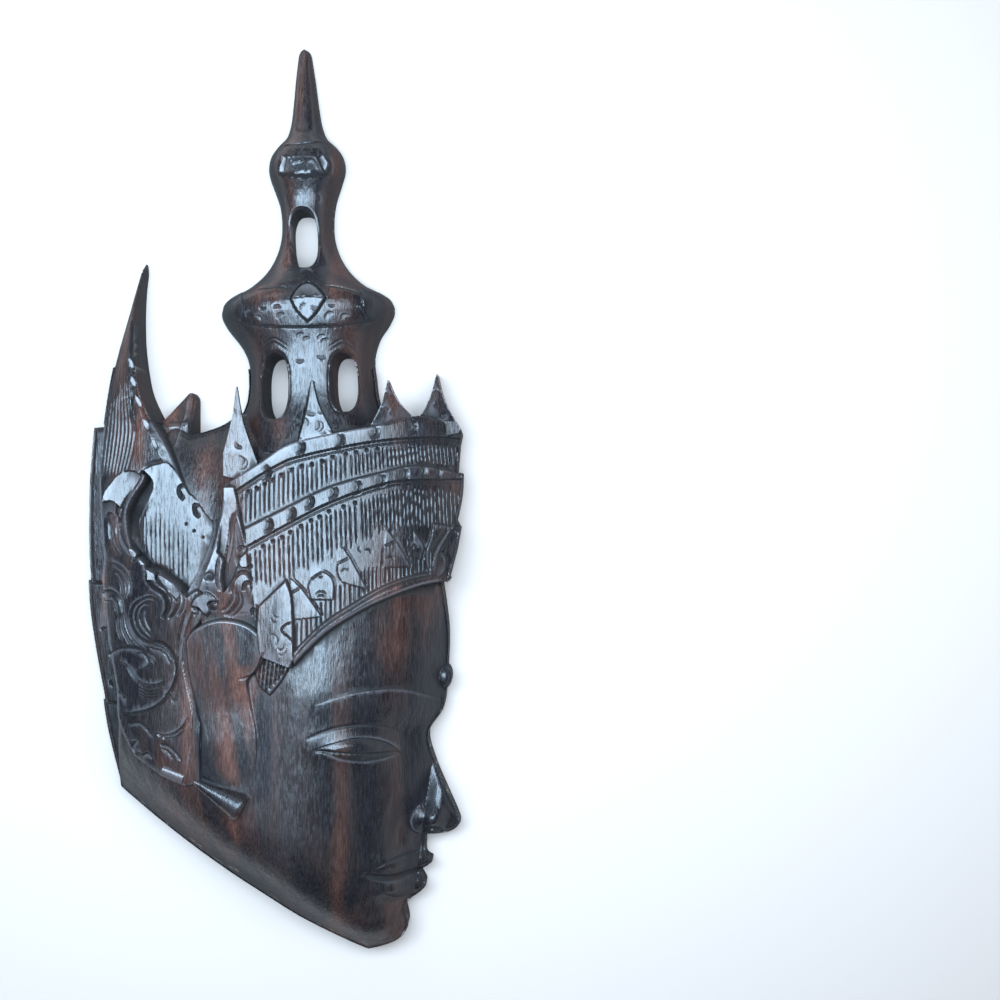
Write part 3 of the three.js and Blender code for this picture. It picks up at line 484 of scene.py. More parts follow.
# The headband: three lapped tiers that each stand prouder than the one above, over a rolled rim.
# Every tier has a smooth strip cut with hooks, a double line, a row of punched dots and combed wood.
def band_height(x, y):
    turned_away = 0.012 * np.maximum(0, -x) ** 2 * smooth_step(-30, 0, y)
    return EDGE + 2 + RISE * dome((94 - x) / 82) * (1 - 0.0022 * (y - HAIRLINE[1])) - turned_away


def proud_band(step):
    """The height of a layer that stands so far over the band."""
    return lambda x, y: band_height(x, y) + step


def pit(x, y, across=0.75, along=0.75, depth=0.8):
    patch = patch_around(np.array([[x, y]]), 3 * max(across, along))
    shape = np.exp(-(((X[patch] - x) / across) ** 2) - ((Y[patch] - y) / along) ** 2)
    top[patch] -= depth * shape
    # Shade is painted into the pit.
    at_least(cut_shade, patch, 0.8 * shape)


def nick(x, y, radius, facing):
    """A thin curved cut, made with the corner of a gouge."""
    groove(arc(x, y, radius, facing, 150), 0.95, 0.5, 0.3)


TIER_TOPS = [
    [(-16, 6), (-1.5, 15), (12.5, 24), (37.5, 30), (54, 33), (71, 37.5), (82, 35.5), (91, 31.5)],
    [(-8, -15.5), (11, -6), (31.5, 4), (54, 10.5), (71, 14), (92, 10.5)],
]
TIER_GROOVES = [
    [(-12.5, 1.5), (7, 13.5), (19, 18), (49.5, 24.5), (77.5, 27.5), (92, 27)],
    [(-7, -24.5), (14.5, -12.5), (31, -4), (48, 2.5), (63.5, 6.5), (93, 7.5)],
]
ROLL_TOP = [(15.5, -72), (23, -64), (31, -57), (42, -50), (55, -42.5), (68, -38), (78, -36.5)]
ROLL_LOW = [(16, -78), (23, -70.5), (31, -63), (42, -56), (53.5, -50), (71, -43.5), (86, -41)]
upper_tier = curve_through([
    *TIER_TOPS[0], (90.5, 24), (89.5, 12, 1), (88, -10, 1), (20, -40, 1), (-8, -24, 1),
])
lower_tier = curve_through([
    *TIER_TOPS[1][:-1], (92, 10.5, 1), (91.5, 0), (89, -12.5, 1), (90.5, -15.5, 1), (89, -26), (85, -41, 1),
    (55, -46), (31, -60), (14, -74, 1), (-2, -60, 1),
])
raise_over(upper_tier, proud_band(0.6), arris=1.5, footprint=True)
raise_over(lower_tier, proud_band(2.2), arris=1.5, footprint=True)
for tops, lines in zip(TIER_TOPS, TIER_GROOVES):
    raise_over(np.vstack([curve_through(tops), curve_through(lines)[::-1]]), 0.7, arris=0.9)
    line = curve_through(lines)
    for drop in (0, 1.8):
        groove(line - [0, drop], 0.95, 0.8 - 0.2 * drop, 0.03, 0.9 - 0.2 * drop)
roll = np.vstack([curve_through(ROLL_TOP), curve_through(ROLL_LOW)[::-1]])
raise_over(roll, proud_band(4.6), arris=2.6, footprint=True)
groove(curve_through(ROLL_TOP) + [0.6, -1.9], 1.3, 0.8, 0.05)
end_piece = curve_through([
    (91, -15.5, 1), (78, -13.5, 1), (77, -20), (74.5, -29), (77, -39, 1), (85, -42, 1), (89, -27),
])
raise_over(end_piece, proud_band(4.5), arris=1.3, footprint=True)
sweep([(89.5, -13.7), (85.6, -18.8), (81.9, -25.4), (79.6, -31)], 3.4, 1.4, left=True)
sweep([(86.8, -14.1), (83.3, -19.7), (79.6, -26.2), (77.8, -34.7)], 2.6, 1.0, left=False)
sweep([(81.9, -27.3), (84.2, -31.2), (83.3, -36.9), (80.1, -39.5)], 2.6, 1.0, left=True)
for x, y in [  # the hooks in the upper strip, then in the lower one
    (0.6, 10), (16.2, 22), (34.4, 25.3), (50.2, 29.7), (67, 32), (84, 31.2),
    (2.2, -14), (12.7, -8.9), (20.9, -3), (31.7, 1.2), (42.5, 3.5), (53.3, 6.8), (63.6, 9.7),
    (71.7, 11.2), (78.5, 10.8), (86.4, 10),
]:
    crescent(x - 0.6, y, 2.6, -8, 1.5, 165, outside=True)
    crescent(x - 1.2, y, 2.5, -8, 0.25, 165)
for x, y in [  # the punched dots, in the same order
    (-6.4, 1.4), (-2.3, 2.7), (1.4, 4.9), (5.1, 6.7), (9, 9), (13.7, 11.3), (18.3, 13.1), (23, 13.9),
    (27.8, 15.4), (32.5, 17.4), (38.5, 18.9), (43.2, 19.6), (48, 20.8), (53, 21.3),
    (1.3, -23.7), (5.8, -21.4), (10.1, -19.7), (13.7, -17.4), (18.5, -14.6), (23.2, -11.9),
    (27, -10.3), (31.3, -7.7), (38, -5.7), (43.1, -3.9),
]:
    pit(x, y, depth=1.0)
    crescent(x, y + 0.3, 0.8, 240, 0.4)


def comb(x, high, low, depth=0.55, lean=0.0, width=0.95, dark=0.8):
    """One comb line: a narrow cut that starts square and runs out to a point."""
    wander = chance.uniform(-0.2, 0.2)
    middle = (x + wander + lean / 2, (high + low) / 2)
    groove(np.array([(x, high), middle, (x + 0.6 * wander + lean, low)]), width, depth, 0.12, dark)


for x in [*np.arange(-11.5, 40.0, 2.16), *np.arange(41.0, 91.0, 1.8)]:
    line = np.interp(x, *np.array(TIER_GROOVES[0]).T)
    foot = np.interp(x, *np.array(TIER_TOPS[1]).T) + 1.2
    comb(x, line - 2.9 - chance.uniform(0, 1.2), foot + chance.uniform(0, 0.8), lean=0.012 * x)
for x in [*np.arange(-4.5, 45.0, 2.16), *np.arange(46.0, 89.5, 1.8)]:
    line = np.interp(x, *np.array(TIER_GROOVES[1]).T)
    reach = np.interp(x, [0, 20, 50, 70, 90], [21, 26, 22, 23, 25])
    comb(x, line - 3.2 - chance.uniform(0, 1.8), line - reach - chance.uniform(-2.5, 2.5), 0.6, 0.9, 0.95)
for x in [*np.arange(12.0, 45.0, 2.16), *np.arange(45.0, 76.0, 1.8)]:
    foot = np.interp(x, *np.array(ROLL_TOP).T) + 0.8
    comb(x + 1.1, foot + chance.uniform(9, 13), foot, 0.6)
for eave, ridge, drop in (
    # the cut under each leaf's left shoulder, the long cut down its right side, the short one on its left
    ([(14.6, -44.5), (18.2, -42.2)], [(14, -38.1), (19.1, -42.7), (23.3, -48.1), (28.8, -55.9)],
     [(14.6, -44.5), (15.1, -50.8), (15.7, -57.2)]),
    ([(23.1, -38.6), (26.1, -36.3), (28.5, -35)], [(28.5, -35), (32.6, -37.8), (34, -41.9), (33.6, -48.3)],
     [(23.1, -39.1), (22.3, -42.7), (23.7, -48.1)]),
    ([(35.7, -31), (40.3, -28.6)], [(37.3, -23.7), (40.8, -28.6), (44.7, -35.6), (49.2, -44)],
     [(35.7, -31), (35.3, -35.5), (37.1, -40.1)]),
    ([(56.2, -23.4), (61.5, -21.2)], [(57.5, -16.4), (61.5, -21.6), (65.1, -27.8), (68.2, -33.9)],
     [(56.2, -23.9), (55.4, -28.4), (55.8, -34)]),
    ([(68.3, -25), (69.7, -23.1), (71.4, -25.1)],
     [(69.5, -17.1), (71.8, -20.4), (74.1, -24.7), (72.7, -30.8)],
     [(68.6, -18), (66.1, -22.1), (67.3, -28.8)]),
):
    outline = curve_through([*drop[::-1], *eave[:-1], *ridge])
    patch, inside = share_inside(outline, 2, 0.8, 0.3)
    top[patch] += 0.9 * inside * (band_height(X[patch], Y[patch]) + 2.6 - top[patch])
    sweep(ridge, 1.4, 0.6, left=True, taper=0.1, dark=0.5)
    sweep(eave, 1.4, 0.8, left=False, taper=0.1, dark=0.6)
    groove(drop, 0.9, 0.5, 0.15)
for (x, y), radius, facing in [
    ((27.9, -38.5), 0.9, 90), ((28.2, -46.8), 2.6, 90), ((28.2, -47.7), 1.7, 90), ((39.1, -35.9), 1.8, 100),
    ((69.2, -24.1), 1.4, 230), ((48.6, -27), 1.8, 60), ((58.9, -30.4), 1.6, 90), ((46.3, -25.1), 1.4, 200),
]:
    nick(x, y, radius, facing)

# The leaf hanging over the temple, the combed fringe under it, and the tall hooked leaf before the ear.
# They stand proud of the headband, with soft gouge marks and a lifted tip.
fringe = curve_through([(-1, -73, 1), (14, -78, 1), (9.5, -86), (4.5, -92, 1), (-0.5, -87.5), (-2.5, -81.5)])
raise_over(fringe, lambda x, y: head_height(x, y) + 2, arris=1.0)
for x in np.arange(0.5, 14, 1.9):
    comb(x, -75, -91 + 0.9 * abs(x - 4.5) * 1.1, 1.0, -1.5)
hanging_leaf = curve_through([
    (12.5, -39, 1), (15, -46), (16, -58.5), (16.2, -66), (16.5, -75, 1), (14.5, -79, 1), (0.5, -74, 1),
    (-1, -62.5), (-0.5, -51, 1),
])
raise_over(hanging_leaf, lambda x, y: band_height(x, y) + 5 - 2 * smooth_step(12, -2, x), arris=1.0)
groove([(15.5, -58.1), (13.4, -58.7), (11, -60.8), (11.7, -62.9), (14, -64.4), (16.3, -66.7)],
       1.1, 0.8, 0.1)
for mark in (
    [(6.5, -53.6), (7.7, -55.4), (9.7, -55.8)],
    [(5.6, -56), (6.8, -57.8), (8.8, -58.1)],
    [(5.3, -63.9), (7.1, -63.5), (8.9, -65), (9.2, -67.1), (7.9, -68.6)],
    [(9, -69.5), (10.6, -70.4), (12, -69.1), (11.9, -67.5)],
    [(9.7, -72.7), (11.6, -72.7), (13.1, -71.3), (13.3, -69.5)],
):
    groove(curve_through(mark, 4), 0.8, 0.35, 0.3)
for x in np.arange(-5.0, 0.5, 1.9):
    comb(x, -49 + 0.9 * x, -72, 0.8)
tall_leaf = curve_through([
    (-18, 3.5, 1), (-12.5, 3.5, 1), (-11, -3), (-8, -16.5), (-5.5, -27), (-4.5, -36), (-3, -45),
    (-1.5, -54), (0, -62, 1), (-27, -62, 1), (-27, -54), (-22, -49, 1), (-28, -43.5, 1), (-25, -35),
    (-22, -26.5), (-19.2, -11.5),
])
raise_over(tall_leaf, lambda x, y: band_height(x, y) + 3.5 - 5 * smooth_step(38, 62, -y), arris=1.1)
facet([
    (-17.6, 3.5, 1), (-12.7, 3.5, 1), (-11.5, -2.5), (-10.5, -8, 1), (-12.6, -8.5), (-14.1, -10.7),
    (-14.5, -16.7), (-15.3, -23.1), (-16.5, -29.9, 1), (-19.3, -26.3, 1), (-18.8, -19.9), (-18.2, -13.5),
    (-17.7, -5.7), (-17.6, 3.5),
], band_height(-16, -10) + 3.2, 0.02, 0.02, 0.8)
inner_leaf = curve_through([
    (-14.1, -11.2, 1), (-12.8, -9.1), (-10.5, -8.7, 1), (-8.6, -15.3), (-6.8, -22.2), (-6.3, -26.3),
    (-8.8, -29), (-10.5, -34.5), (-13.6, -40.8), (-16.2, -44.4, 1), (-17.3, -38.1), (-16.5, -30.8),
    (-15.3, -23.5), (-14.5, -16.7), (-14.1, -11.2),
])
facet(inner_leaf, band_height(-10, -25) + 1.2, -0.3, -0.02, 0.9)
# A light shade is painted over the inner leaf.
patch, inside = share_inside(inner_leaf, 1, 1.5, 0)
at_least(cut_shade, patch, 0.3 * inside)
for hook in (
    # path, width, depth, whether the slope lies to the left of it
    ([(-15.7, -24.4), (-14.5, -17.1), (-14.1, -11.2), (-12.8, -8.9), (-10.5, -8.9)], 1.8, 1.1, False),
    ([(-10.5, -11.2), (-11.8, -13.5), (-12.2, -19), (-12.9, -25.4), (-14.7, -31.7)], 1.4, 0.7, False),
    ([(-11.1, -25.4), (-9.3, -23.5), (-7.2, -23.6), (-5.8, -24.9), (-6.2, -26.8)], 2.0, 1.1, False),
    ([(-8.9, -28.1), (-9.7, -30.4), (-8.2, -33.1), (-5.7, -33.1), (-4, -31.4)], 2.0, 1.3, False),
    ([(-13.5, -45.3), (-13.1, -40.4), (-10.9, -36.3), (-7.3, -34.5), (-4.4, -35.9),
      (-3, -39.5)], 2.0, 1.3, False),
    ([(-8, -44), (-7.2, -40.4), (-4.9, -39.4), (-3.4, -40.5)], 2.2, 1.5, False),
    ([(-9.9, -44.4), (-9.3, -49), (-12.4, -53.5), (-16.5, -55.7)], 1.8, 1.0, False),
    ([(-8, -44.9), (-7.5, -49.9), (-10.6, -54.4), (-14.7, -56.2)], 1.6, 0.9, False),
    ([(-12.2, -43.5), (-12.1, -47.6), (-14.7, -51.7), (-17.4, -53.9)], 1.4, 0.8, False),
    ([(-3.7, -55.7), (-4.2, -53), (-2.9, -51.7), (-0.8, -52.9)], 2.0, 1.3, False),
    ([(-18.4, -27.6), (-19.7, -31.7), (-20, -37.6), (-18.5, -44.4)], 2.0, 0.9, True),
):
    sweep(*hook)
crescent(-22.8, -37.6, 2.2, 90, 1.1, 300)
pit(-22.3, -37.2, 1.3, 1.6, 1.6)


# The wing: a tall feather with a sharp ridge close behind its front edge, fluted along its blade and
# combed across its lower panel, with a deep hollow between it and the leaf ornament.
WING_LINES = np.array([
    # place along the mask, outer edge, ridge, front edge, height at the outer edge, height at the ridge
    (-48, -84, -34, -22, 24, 37), (-14, -84, -36, -22, 24, 37), (5, -83.5, -44, -38, 23, 35),
    (25, -82.5, -54.5, -44, 22, 33), (36, -82, -60, -52, 20, 31), (53, -79.5, -66, -62.5, 18, 27.5),
    (72, -75.5, -69, -66, 15, 23), (92, -70.5, -68.5, -66.2, 12, 17), (115, -66.5, -66, -65, 6, 7),
])


def wing_height(x, y):
    outer, ridge, front, low, high = (np.interp(y, WING_LINES[:, 0], WING_LINES[:, i]) for i in range(1, 6))
    behind = low + (high - low) * clamp((x - outer) / (ridge - outer)) ** 0.6
    ahead = high - np.where(y > 30, 3.5, 1.5) * clamp((x - ridge) / (front - ridge))
    return np.where(x < ridge, behind, ahead)


wing = curve_through([
    (-66, 115, 1), (-65.5, 110), (-66.5, 100), (-67, 87), (-66.5, 72), (-64.5, 57), (-62, 47.5),
    (-56.5, 36, 1), (-48, 23), (-39.5, 5, 1), (-40.5, 0), (-35, -1.5, 1), (-33, -9), (-31, -12.5, 1),
    (-24.5, -13, 1), (-26, -24), (-30, -38), (-36.5, -47, 1), (-60, -50), (-80, -30, 1), (-83.5, 5),
    (-82.5, 22), (-80, 50), (-75.5, 72), (-70.5, 93),
])
raise_over(wing, wing_height, arris=1.2, footprint=True)
panel = curve_through([
    (-58.9, 11.7, 1), (-56.1, 13.5), (-52.3, 14.5), (-47.6, 15.4, 1), (-44.8, 12.6), (-41.9, 8.8),
    (-39.6, 5), (-37.2, 0.8), (-34.9, -1.1), (-32, -4.9), (-28.7, -9.6), (-25, -12.9, 1), (-25, -19),
    (-27.3, -27), (-30.1, -35.5), (-33, -41.2), (-36.3, -48.3, 1), (-39.1, -45), (-42.9, -40.2),
    (-47.6, -36), (-52.3, -34.6), (-56.1, -31.3), (-58.9, -26.1), (-60.3, -20.4), (-60.3, -12.9),
    (-59.4, -8.2), (-57.5, -4.4), (-55.6, -0.6), (-54.2, 3.2), (-54.7, 6.9), (-56.6, 9.3),
])
patch = patch_around(panel, 2)
inside = depth_inside(panel, X[patch], Y[patch])
worn_edge = 2.2 * (1 - dome(np.maximum(inside, 0) / 3.5))  # low on the left, beside the hollow
worn_edge = worn_edge * smooth_step(-40, -52, X[patch]) * smooth_step(0, -12, Y[patch])
blade = 35 - 0.06 * Y[patch] - 0.03 * (X[patch] + 48) - worn_edge
top[patch] += clamp(0.5 + inside / 0.6) * (blade - top[patch])
sweep([(-58.9, 11.7), (-55.6, 13.5), (-51.9, 14.5), (-47.6, 15.9)], 2.4, 0.8, left=True)
recess = curve_through([
    (-60.1, 11.3, 1), (-56.8, 9.4), (-54.9, 6.6), (-54.9, 3.2), (-56.3, -1.1), (-58.2, -4.9), (-60.1, -8.2),
    (-61.8, -12), (-61.8, -16.8), (-61.1, -21.6), (-58.7, -26.3), (-55.8, -30.6), (-52, -34.4, 1),
    (-56.8, -34.9), (-61.6, -30.6), (-64.9, -26.8), (-67.8, -22), (-69.7, -16.8), (-71.1, -12), (-73, -7.3),
    (-71.1, -1.5), (-66.3, 4.2), (-62.5, 8), (-60.1, 11.3),
])
patch, inside = share_inside(recess, 2, 0.8)
deep = smooth_step(22, 4, -Y[patch])
top[patch] += inside * np.minimum(0, 19 + 0.25 * (X[patch] + 66) + 12 * (1 - deep) - top[patch])
# Shade is painted into the hollow, darkest where it is deepest.
at_least(cut_shade, patch, (0.35 + 0.45 * deep) * inside)
sweep([(-69.5, -11.5), (-67.7, -20.6), (-63.8, -26.7), (-58.2, -31.9), (-56.2, -33.8)],
      2.6, 2.2, left=True, taper=0.05)
groove([
    (-68.2, 86.4), (-67.8, 70.4), (-67.3, 60.9), (-65.7, 49.2), (-66.1, 38.2), (-63.1, 29.9),
], 1.8, 1.4, 0.1)
outer_flute = np.array([(-73.6, 76.6), (-78.3, 48.5), (-81.4, 26.4), (-83.1, 7.1)])
inner_flute = np.array([(-68.3, 80.3), (-66.8, 52.6), (-62.8, 30.8), (-67.5, 9.9)])
for t in np.linspace(0.06, 0.95, 9):
    groove(curve_through(outer_flute * (1 - t) + inner_flute * t), 1.45, 0.5, 0.1, 0.5)
# Chips along the ridge: small flat facets, each with a painted highlight.
over, up = np.cos(around(16)), np.sin(around(16))
for x, y in [(-67.6, 63.4), (-66, 54.5), (-62.6, 44.2), (-58.3, 33), (-53.9, 24.1)]:
    chip = np.array([x, y]) + np.c_[1.2 * over - 0.9 * up, 2.7 * up]
    facet(chip, wing_height(x, y) - 0.7, 0.0, 0.0, 0.4, 0.8)
for x in np.arange(-59.4, -36.0, 2.16):
    low = np.interp(x, [-59.4, -52, -45, -36], [-27, -36, -44, -49])
    high = np.interp(x, [-59, -52, -44, -36], [-11, -8.5, -13, -20])
    comb(x, high + chance.uniform(-1.5, 1.5), low + chance.uniform(-1, 1), 0.35, 0.6, 0.85, 0.55)
for x, y in [(-38.3, -13.8), (-34.5, -17), (-30.3, -20.1)]:
    pit(x, y, 0.5, 0.45)
for hook in (
    [(-39.5, 3.2), (-39.8, 5.1), (-41.7, 4.6), (-42.8, 2.2), (-41.8, -1.1), (-39.9, -3)],
    [(-32.2, -5.3), (-34.3, -3.9), (-35.3, -5.8), (-34.7, -9.1), (-32.4, -11.4)],
):
    sweep(hook, 2.4, 1.3, left=True)

# The horn: a small pointed leaf of the same wood, standing up between the wing and the crown. Like the
# bare dome of the head behind it, it is left plain, with one long tool mark down its side.
horn = curve_through([
    (-58, 31, 1), (-53.5, 37), (-50, 41.5), (-46.5, 46.5), (-43, 50.5), (-40, 48), (-39.7, 42),
    (-39.7, 26, 1),
])
raise_over(horn, lambda x, y: 20 - 0.6 * (y - 30), arris=2.0, footprint=True)
sweep([(-44.3, 48.3), (-44.4, 39), (-45.9, 26.4), (-47.8, 22.4)], 4, 1.2, left=False)


# The leaf ornament: a curled leaf behind the ear, its head hooked over the hollow, a volute in its
# middle and two lobes below, all cut with double lines and single gouge marks.
def leaf_height(x, y):
    return np.maximum(27, head_height(x, y) + 3.5 + np.sin((y + 60) / 14) - 1.8 * smooth_step(105, 130, -y))


def polish_and_paint_highlight(path, reach=0.6):
    """An edge made glossier, with a highlight painted along it."""
    path = smoothed(path)
    patch = patch_around(path, 2)
    gap, _, along = from_path(path, X[patch], Y[patch])
    at_least(painted_glints, patch, clamp(1.4 - gap / reach) * clamp(12 * np.minimum(along, 1 - along)))


leaf_front = [
    (-59.1, 9.3, 1), (-60.1, 6), (-62.4, 2.7), (-64.8, -0.6), (-66.7, -4.4), (-68.1, -8.6), (-67.6, -13.3),
    (-66.7, -18), (-65.2, -22.3), (-63.4, -25.6, 1), (-61.5, -27), (-61.5, -29.4, 1), (-59.1, -29.8),
    (-55.8, -32.2, 1), (-55.4, -34.1),
]
leaf = curve_through([
    *leaf_front,
    (-52, -36, 1), (-49.5, -39, 1), (-48, -36.5), (-40, -41), (-34, -47, 1), (-29, -44), (-23, -46.5),
    (-24, -51, 1), (-28.5, -52), (-25, -54.5, 1), (-28, -59, 1), (-35.5, -67.5, 1), (-35.5, -80),
    (-31, -100), (-31.5, -112), (-33, -126), (-35, -135, 1), (-45, -132), (-56, -126.5), (-62, -123, 1),
    (-70, -107.5), (-71.5, -92.5, 1), (-74.5, -78), (-76.5, -69, 1), (-77.5, -58), (-78, -50, 1),
    (-80, -40), (-79.5, -31, 1), (-80.5, -24, 1), (-80, -12), (-76.5, -2.5), (-70, 8),
    (-64.3, 11.2), (-61, 10.7), leaf_front[0][:2],
])
raise_over(leaf, leaf_height, arris=0.9, footprint=True)
# A highlight is painted along the leaf's front edge.
polish_and_paint_highlight(curve_through(leaf_front[:10]) - [0.6, 0], 0.5)
# The leaf's head is one flat facet, tipped to the light.
leaf_head = curve_through([
    (-61.4, 9, 1), (-63.2, 10.8), (-67.6, 11.3), (-72.3, 9.5), (-75.5, 5.7), (-78.6, 1.3), (-79.8, -3.5, 1),
    (-75, -3), (-71, -6.3, 1), (-69, -2.5), (-66.2, 1.8), (-63.3, 5.1), (-61.4, 9),
])
facet(leaf_head, leaf_height(-71, -3) + 2.0, 0.12, 0.06, 0.6)
LEAF_LINES = [
    # path, width, depth, whether the slope lies to the left of it
    ([(-70.5, -5.8), (-71.9, -12), (-70.6, -18.7), (-67.6, -23.8), (-64, -27)], 1.8, 0.7, True),
    ([(-79, -11.1), (-77.5, -8.7), (-75.5, -8.7), (-74, -11.1)], 2.0, 1.0, False),
    ([(-76.1, -12.6), (-75.7, -19.2), (-74, -24), (-69.5, -28.5)], 1.8, 0.9, False),
    ([(-72.2, -13.5), (-71.9, -20.6), (-68.5, -26.2), (-63.7, -29.8)], 1.4, 0.6, False),
    ([(-64, -27), (-61.7, -28.8), (-62.9, -31.6)], 2.0, 1.4, True),
    ([(-61.9, -31.2), (-59.7, -29.3), (-57.5, -30.3), (-55.6, -32.6)], 2.0, 0.8, False),
    ([(-75.4, -32), (-70, -33.2), (-65.2, -36.8), (-62.7, -42.3), (-63.4, -47.8)], 1.4, 0.8, False),
    ([(-74.1, -34.3), (-69.9, -36), (-66.1, -39.6), (-64.7, -44.7), (-66, -49.4)], 1.3, 0.7, False),
    ([(-72.8, -37.1), (-69.7, -39.3), (-67.9, -43), (-67.3, -47.5)], 1.2, 0.6, False),
    ([(-85, -48.5), (-76.5, -45.2), (-72.2, -45.5), (-68.5, -48.1), (-66.8, -52.2),
      (-66.9, -56.9)], 3.0, 1.4, False),
    ([(-84, -52), (-74.6, -49.8), (-71.6, -52.5), (-70.5, -56.7)], 1.4, 0.6, False),
    ([(-54.2, -34.2), (-55, -37.5), (-53.6, -41.1), (-50.8, -43.7), (-46.6, -45.9), (-44.5, -49.1),
      (-44.6, -53.3), (-46.7, -57)], 3.2, 2.6, True),
    ([(-50.3, -36.6), (-48.6, -39.1), (-44.8, -43.2), (-41.5, -47.2), (-41.6, -51.8),
      (-43.6, -55.6)], 2.6, 2.0, False),
    ([(-46.7, -38.7), (-43.4, -42.2), (-40.7, -44.9)], 1.2, 0.6, False),
    ([(-39.3, -43.1), (-37.1, -46.6), (-37.6, -51.3), (-40.1, -55.5), (-42.7, -57.8)], 2.0, 1.2, False),
    ([(-36.9, -43.9), (-35.1, -48), (-35.7, -52.6), (-38.1, -56.3)], 1.6, 0.8, False),
    ([(-48.4, -48.3), (-52.1, -47), (-56.9, -48.5), (-60.8, -51), (-63.1, -55.4), (-62.6, -60.5),
      (-60, -65.1), (-55.9, -68.2), (-51, -69.8)], 2.6, 1.5, True),
    ([(-49.6, -49.7), (-53.7, -49.3), (-58.1, -51.9), (-60.3, -55.7), (-59.9, -60.4), (-57.2, -64.5),
      (-52.4, -67.5)], 1.8, 1.0, True),
    ([(-52.2, -52.1), (-55.4, -52.2), (-57.6, -55.1), (-57.4, -59.4), (-54.5, -63.4),
      (-51.4, -66)], 1.6, 0.8, True),
    ([(-53.8, -54), (-54.9, -56.4), (-53.9, -60.1), (-51.8, -63.2)], 1.3, 0.6, True),
    ([(-65.8, -55), (-65.3, -60.6), (-62.7, -66.2), (-58.4, -70.1), (-54, -72.4)], 1.4, 0.8, False),
    ([(-68.1, -56.5), (-67.6, -62.7), (-64.9, -68.2), (-61.5, -71.9)], 1.3, 0.7, False),
    ([(-70.5, -58.1), (-70.2, -63.8), (-67.8, -68.8)], 1.2, 0.6, False),
    ([(-34, -53.1), (-36.2, -60.4), (-37.8, -67.9), (-38.4, -76.3), (-39.4, -83.2)], 1.8, 1.2, False),
    ([(-31.4, -53.9), (-34.3, -61.3), (-35.8, -66.9)], 1.2, 0.7, True),
    ([(-33.9, -64.1), (-35.9, -69.9), (-36, -77.1)], 1.2, 0.6, True),
    ([(-32.8, -64), (-34.2, -68.1), (-33.5, -73.6)], 1.2, 0.6, True),
    ([(-81.5, -79.4), (-70.9, -73.3), (-63.7, -72), (-57.8, -72.6), (-55.9, -73.8)], 2.6, 1.2, True),
    ([(-54.7, -74.6), (-52, -75.9), (-49.5, -77.6)], 2.0, 0.9, False),
    ([(-52.8, -69), (-47.4, -69.1), (-43.4, -71.3), (-40.9, -75), (-39.4, -79.5), (-40.4, -85.5),
      (-42.9, -90.7), (-47.3, -96), (-53.4, -99.5), (-61.1, -101.6), (-67, -102.3)], 2.4, 1.3, True),
    ([(-52.5, -71.7), (-47.9, -72), (-44.4, -74.2), (-42.4, -78.3)], 1.4, 0.8, True),
    ([(-51.4, -70.2), (-47.4, -70.5), (-43.9, -72.7), (-41.4, -76.4)], 1.2, 0.6, True),
    ([(-69.1, -78.9), (-65.1, -79.9), (-62.3, -83), (-59.6, -86.1), (-54.7, -88.1), (-49, -87.8),
      (-45.4, -86.2)], 2.4, 1.1, False),
    ([(-59.1, -75.4), (-57.4, -73.8), (-54.7, -75.6), (-53.6, -78.7), (-56.3, -80.8),
      (-58.5, -79.5)], 1.2, 0.6, True),
    ([(-64, -108), (-58.8, -106.5), (-54.5, -108.4), (-50.7, -112.7)], 2.4, 1.0, True),
    ([(-48.7, -110.3), (-44.7, -111), (-39.6, -109.3), (-36.2, -106.4), (-33.4, -102.2)], 2.0, 1.1, False),
    ([(-45.7, -112.4), (-40.1, -111.6), (-35.2, -108.2)], 1.4, 0.7, False),
    ([(-47.2, -115.8), (-43.1, -116.4), (-39.5, -119.3), (-37, -122.8)], 1.8, 0.9, True),
    ([(-46.6, -117.6), (-43.6, -118.7), (-40.6, -122.2)], 1.3, 0.7, True),
    ([(-63.1, -116), (-59.7, -115.1), (-62, -117.8), (-60.8, -120.4), (-57.4, -120.5)], 1.6, 1.0, False),
    ([(-57.6, -122.5), (-54, -120.5), (-51.9, -123.1)], 1.8, 1.0, True),
    ([(-33.4, -90.1), (-30.8, -96.5), (-30.3, -104.3), (-31.3, -114.9), (-33.3, -125.5)], 1.6, 0.6, True),
]
for path, width, depth, left in LEAF_LINES:
    sweep(path, 0.75 * width, 1.1 * depth, left, taper=0.12)
for drop in (0, 1.5, 3.0, 4.4):
    line = curve_through([(-59, -88.4), (-54.7, -90), (-50.1, -89.7), (-46, -88.1)])
    groove(line - [0, drop], 0.9, 0.6, 0.3)
# The bright scale between the two deep cuts, tipped like the leaf's head, with a highlight painted on it.
scale = curve_through([
    (-54.2, -34.2, 1), (-50, -36.7, 1), (-49.6, -40.1, 1), (-53.7, -39.7, 1), (-54.2, -34.2),
], 2)
facet(scale, leaf_height(-52, -40) + 1.0, 0.12, 0.04, painted_shine=0.3)
# Three slanting facets, each with a painted highlight.
for slant in (
    [(-65.3, -24.7), (-63.1, -25.6), (-60.9, -27.9), (-61.6, -29.8), (-64.4, -28.4)],
    [(-60, -29.3), (-58.6, -30.1), (-56.2, -32.2), (-56.3, -33.8), (-59.1, -32)],
    [(-48.3, -36.9), (-46.4, -37), (-42.9, -39.2), (-39.4, -42.6), (-37.1, -45.7), (-39, -49),
     (-42.2, -44.9), (-46, -40.9)],
):
    slant = np.array(slant)
    facet(slant, leaf_height(*slant.mean(0)) + 0.4, 0.04, 0.0, 0.6, 0.3)
crescents([
    ((-43.4, -94), 2.2, 80), ((-40.4, -93.4), 2.0, 320), ((-80.1, -92.1), 1.6, 200), ((-69.1, -92), 1.6, 240),
    ((-66.6, -94.1), 1.6, 250), ((-79, -31.1), 1.8, 200), ((-84.5, -66.2), 1.5, 120),
], 0.8)
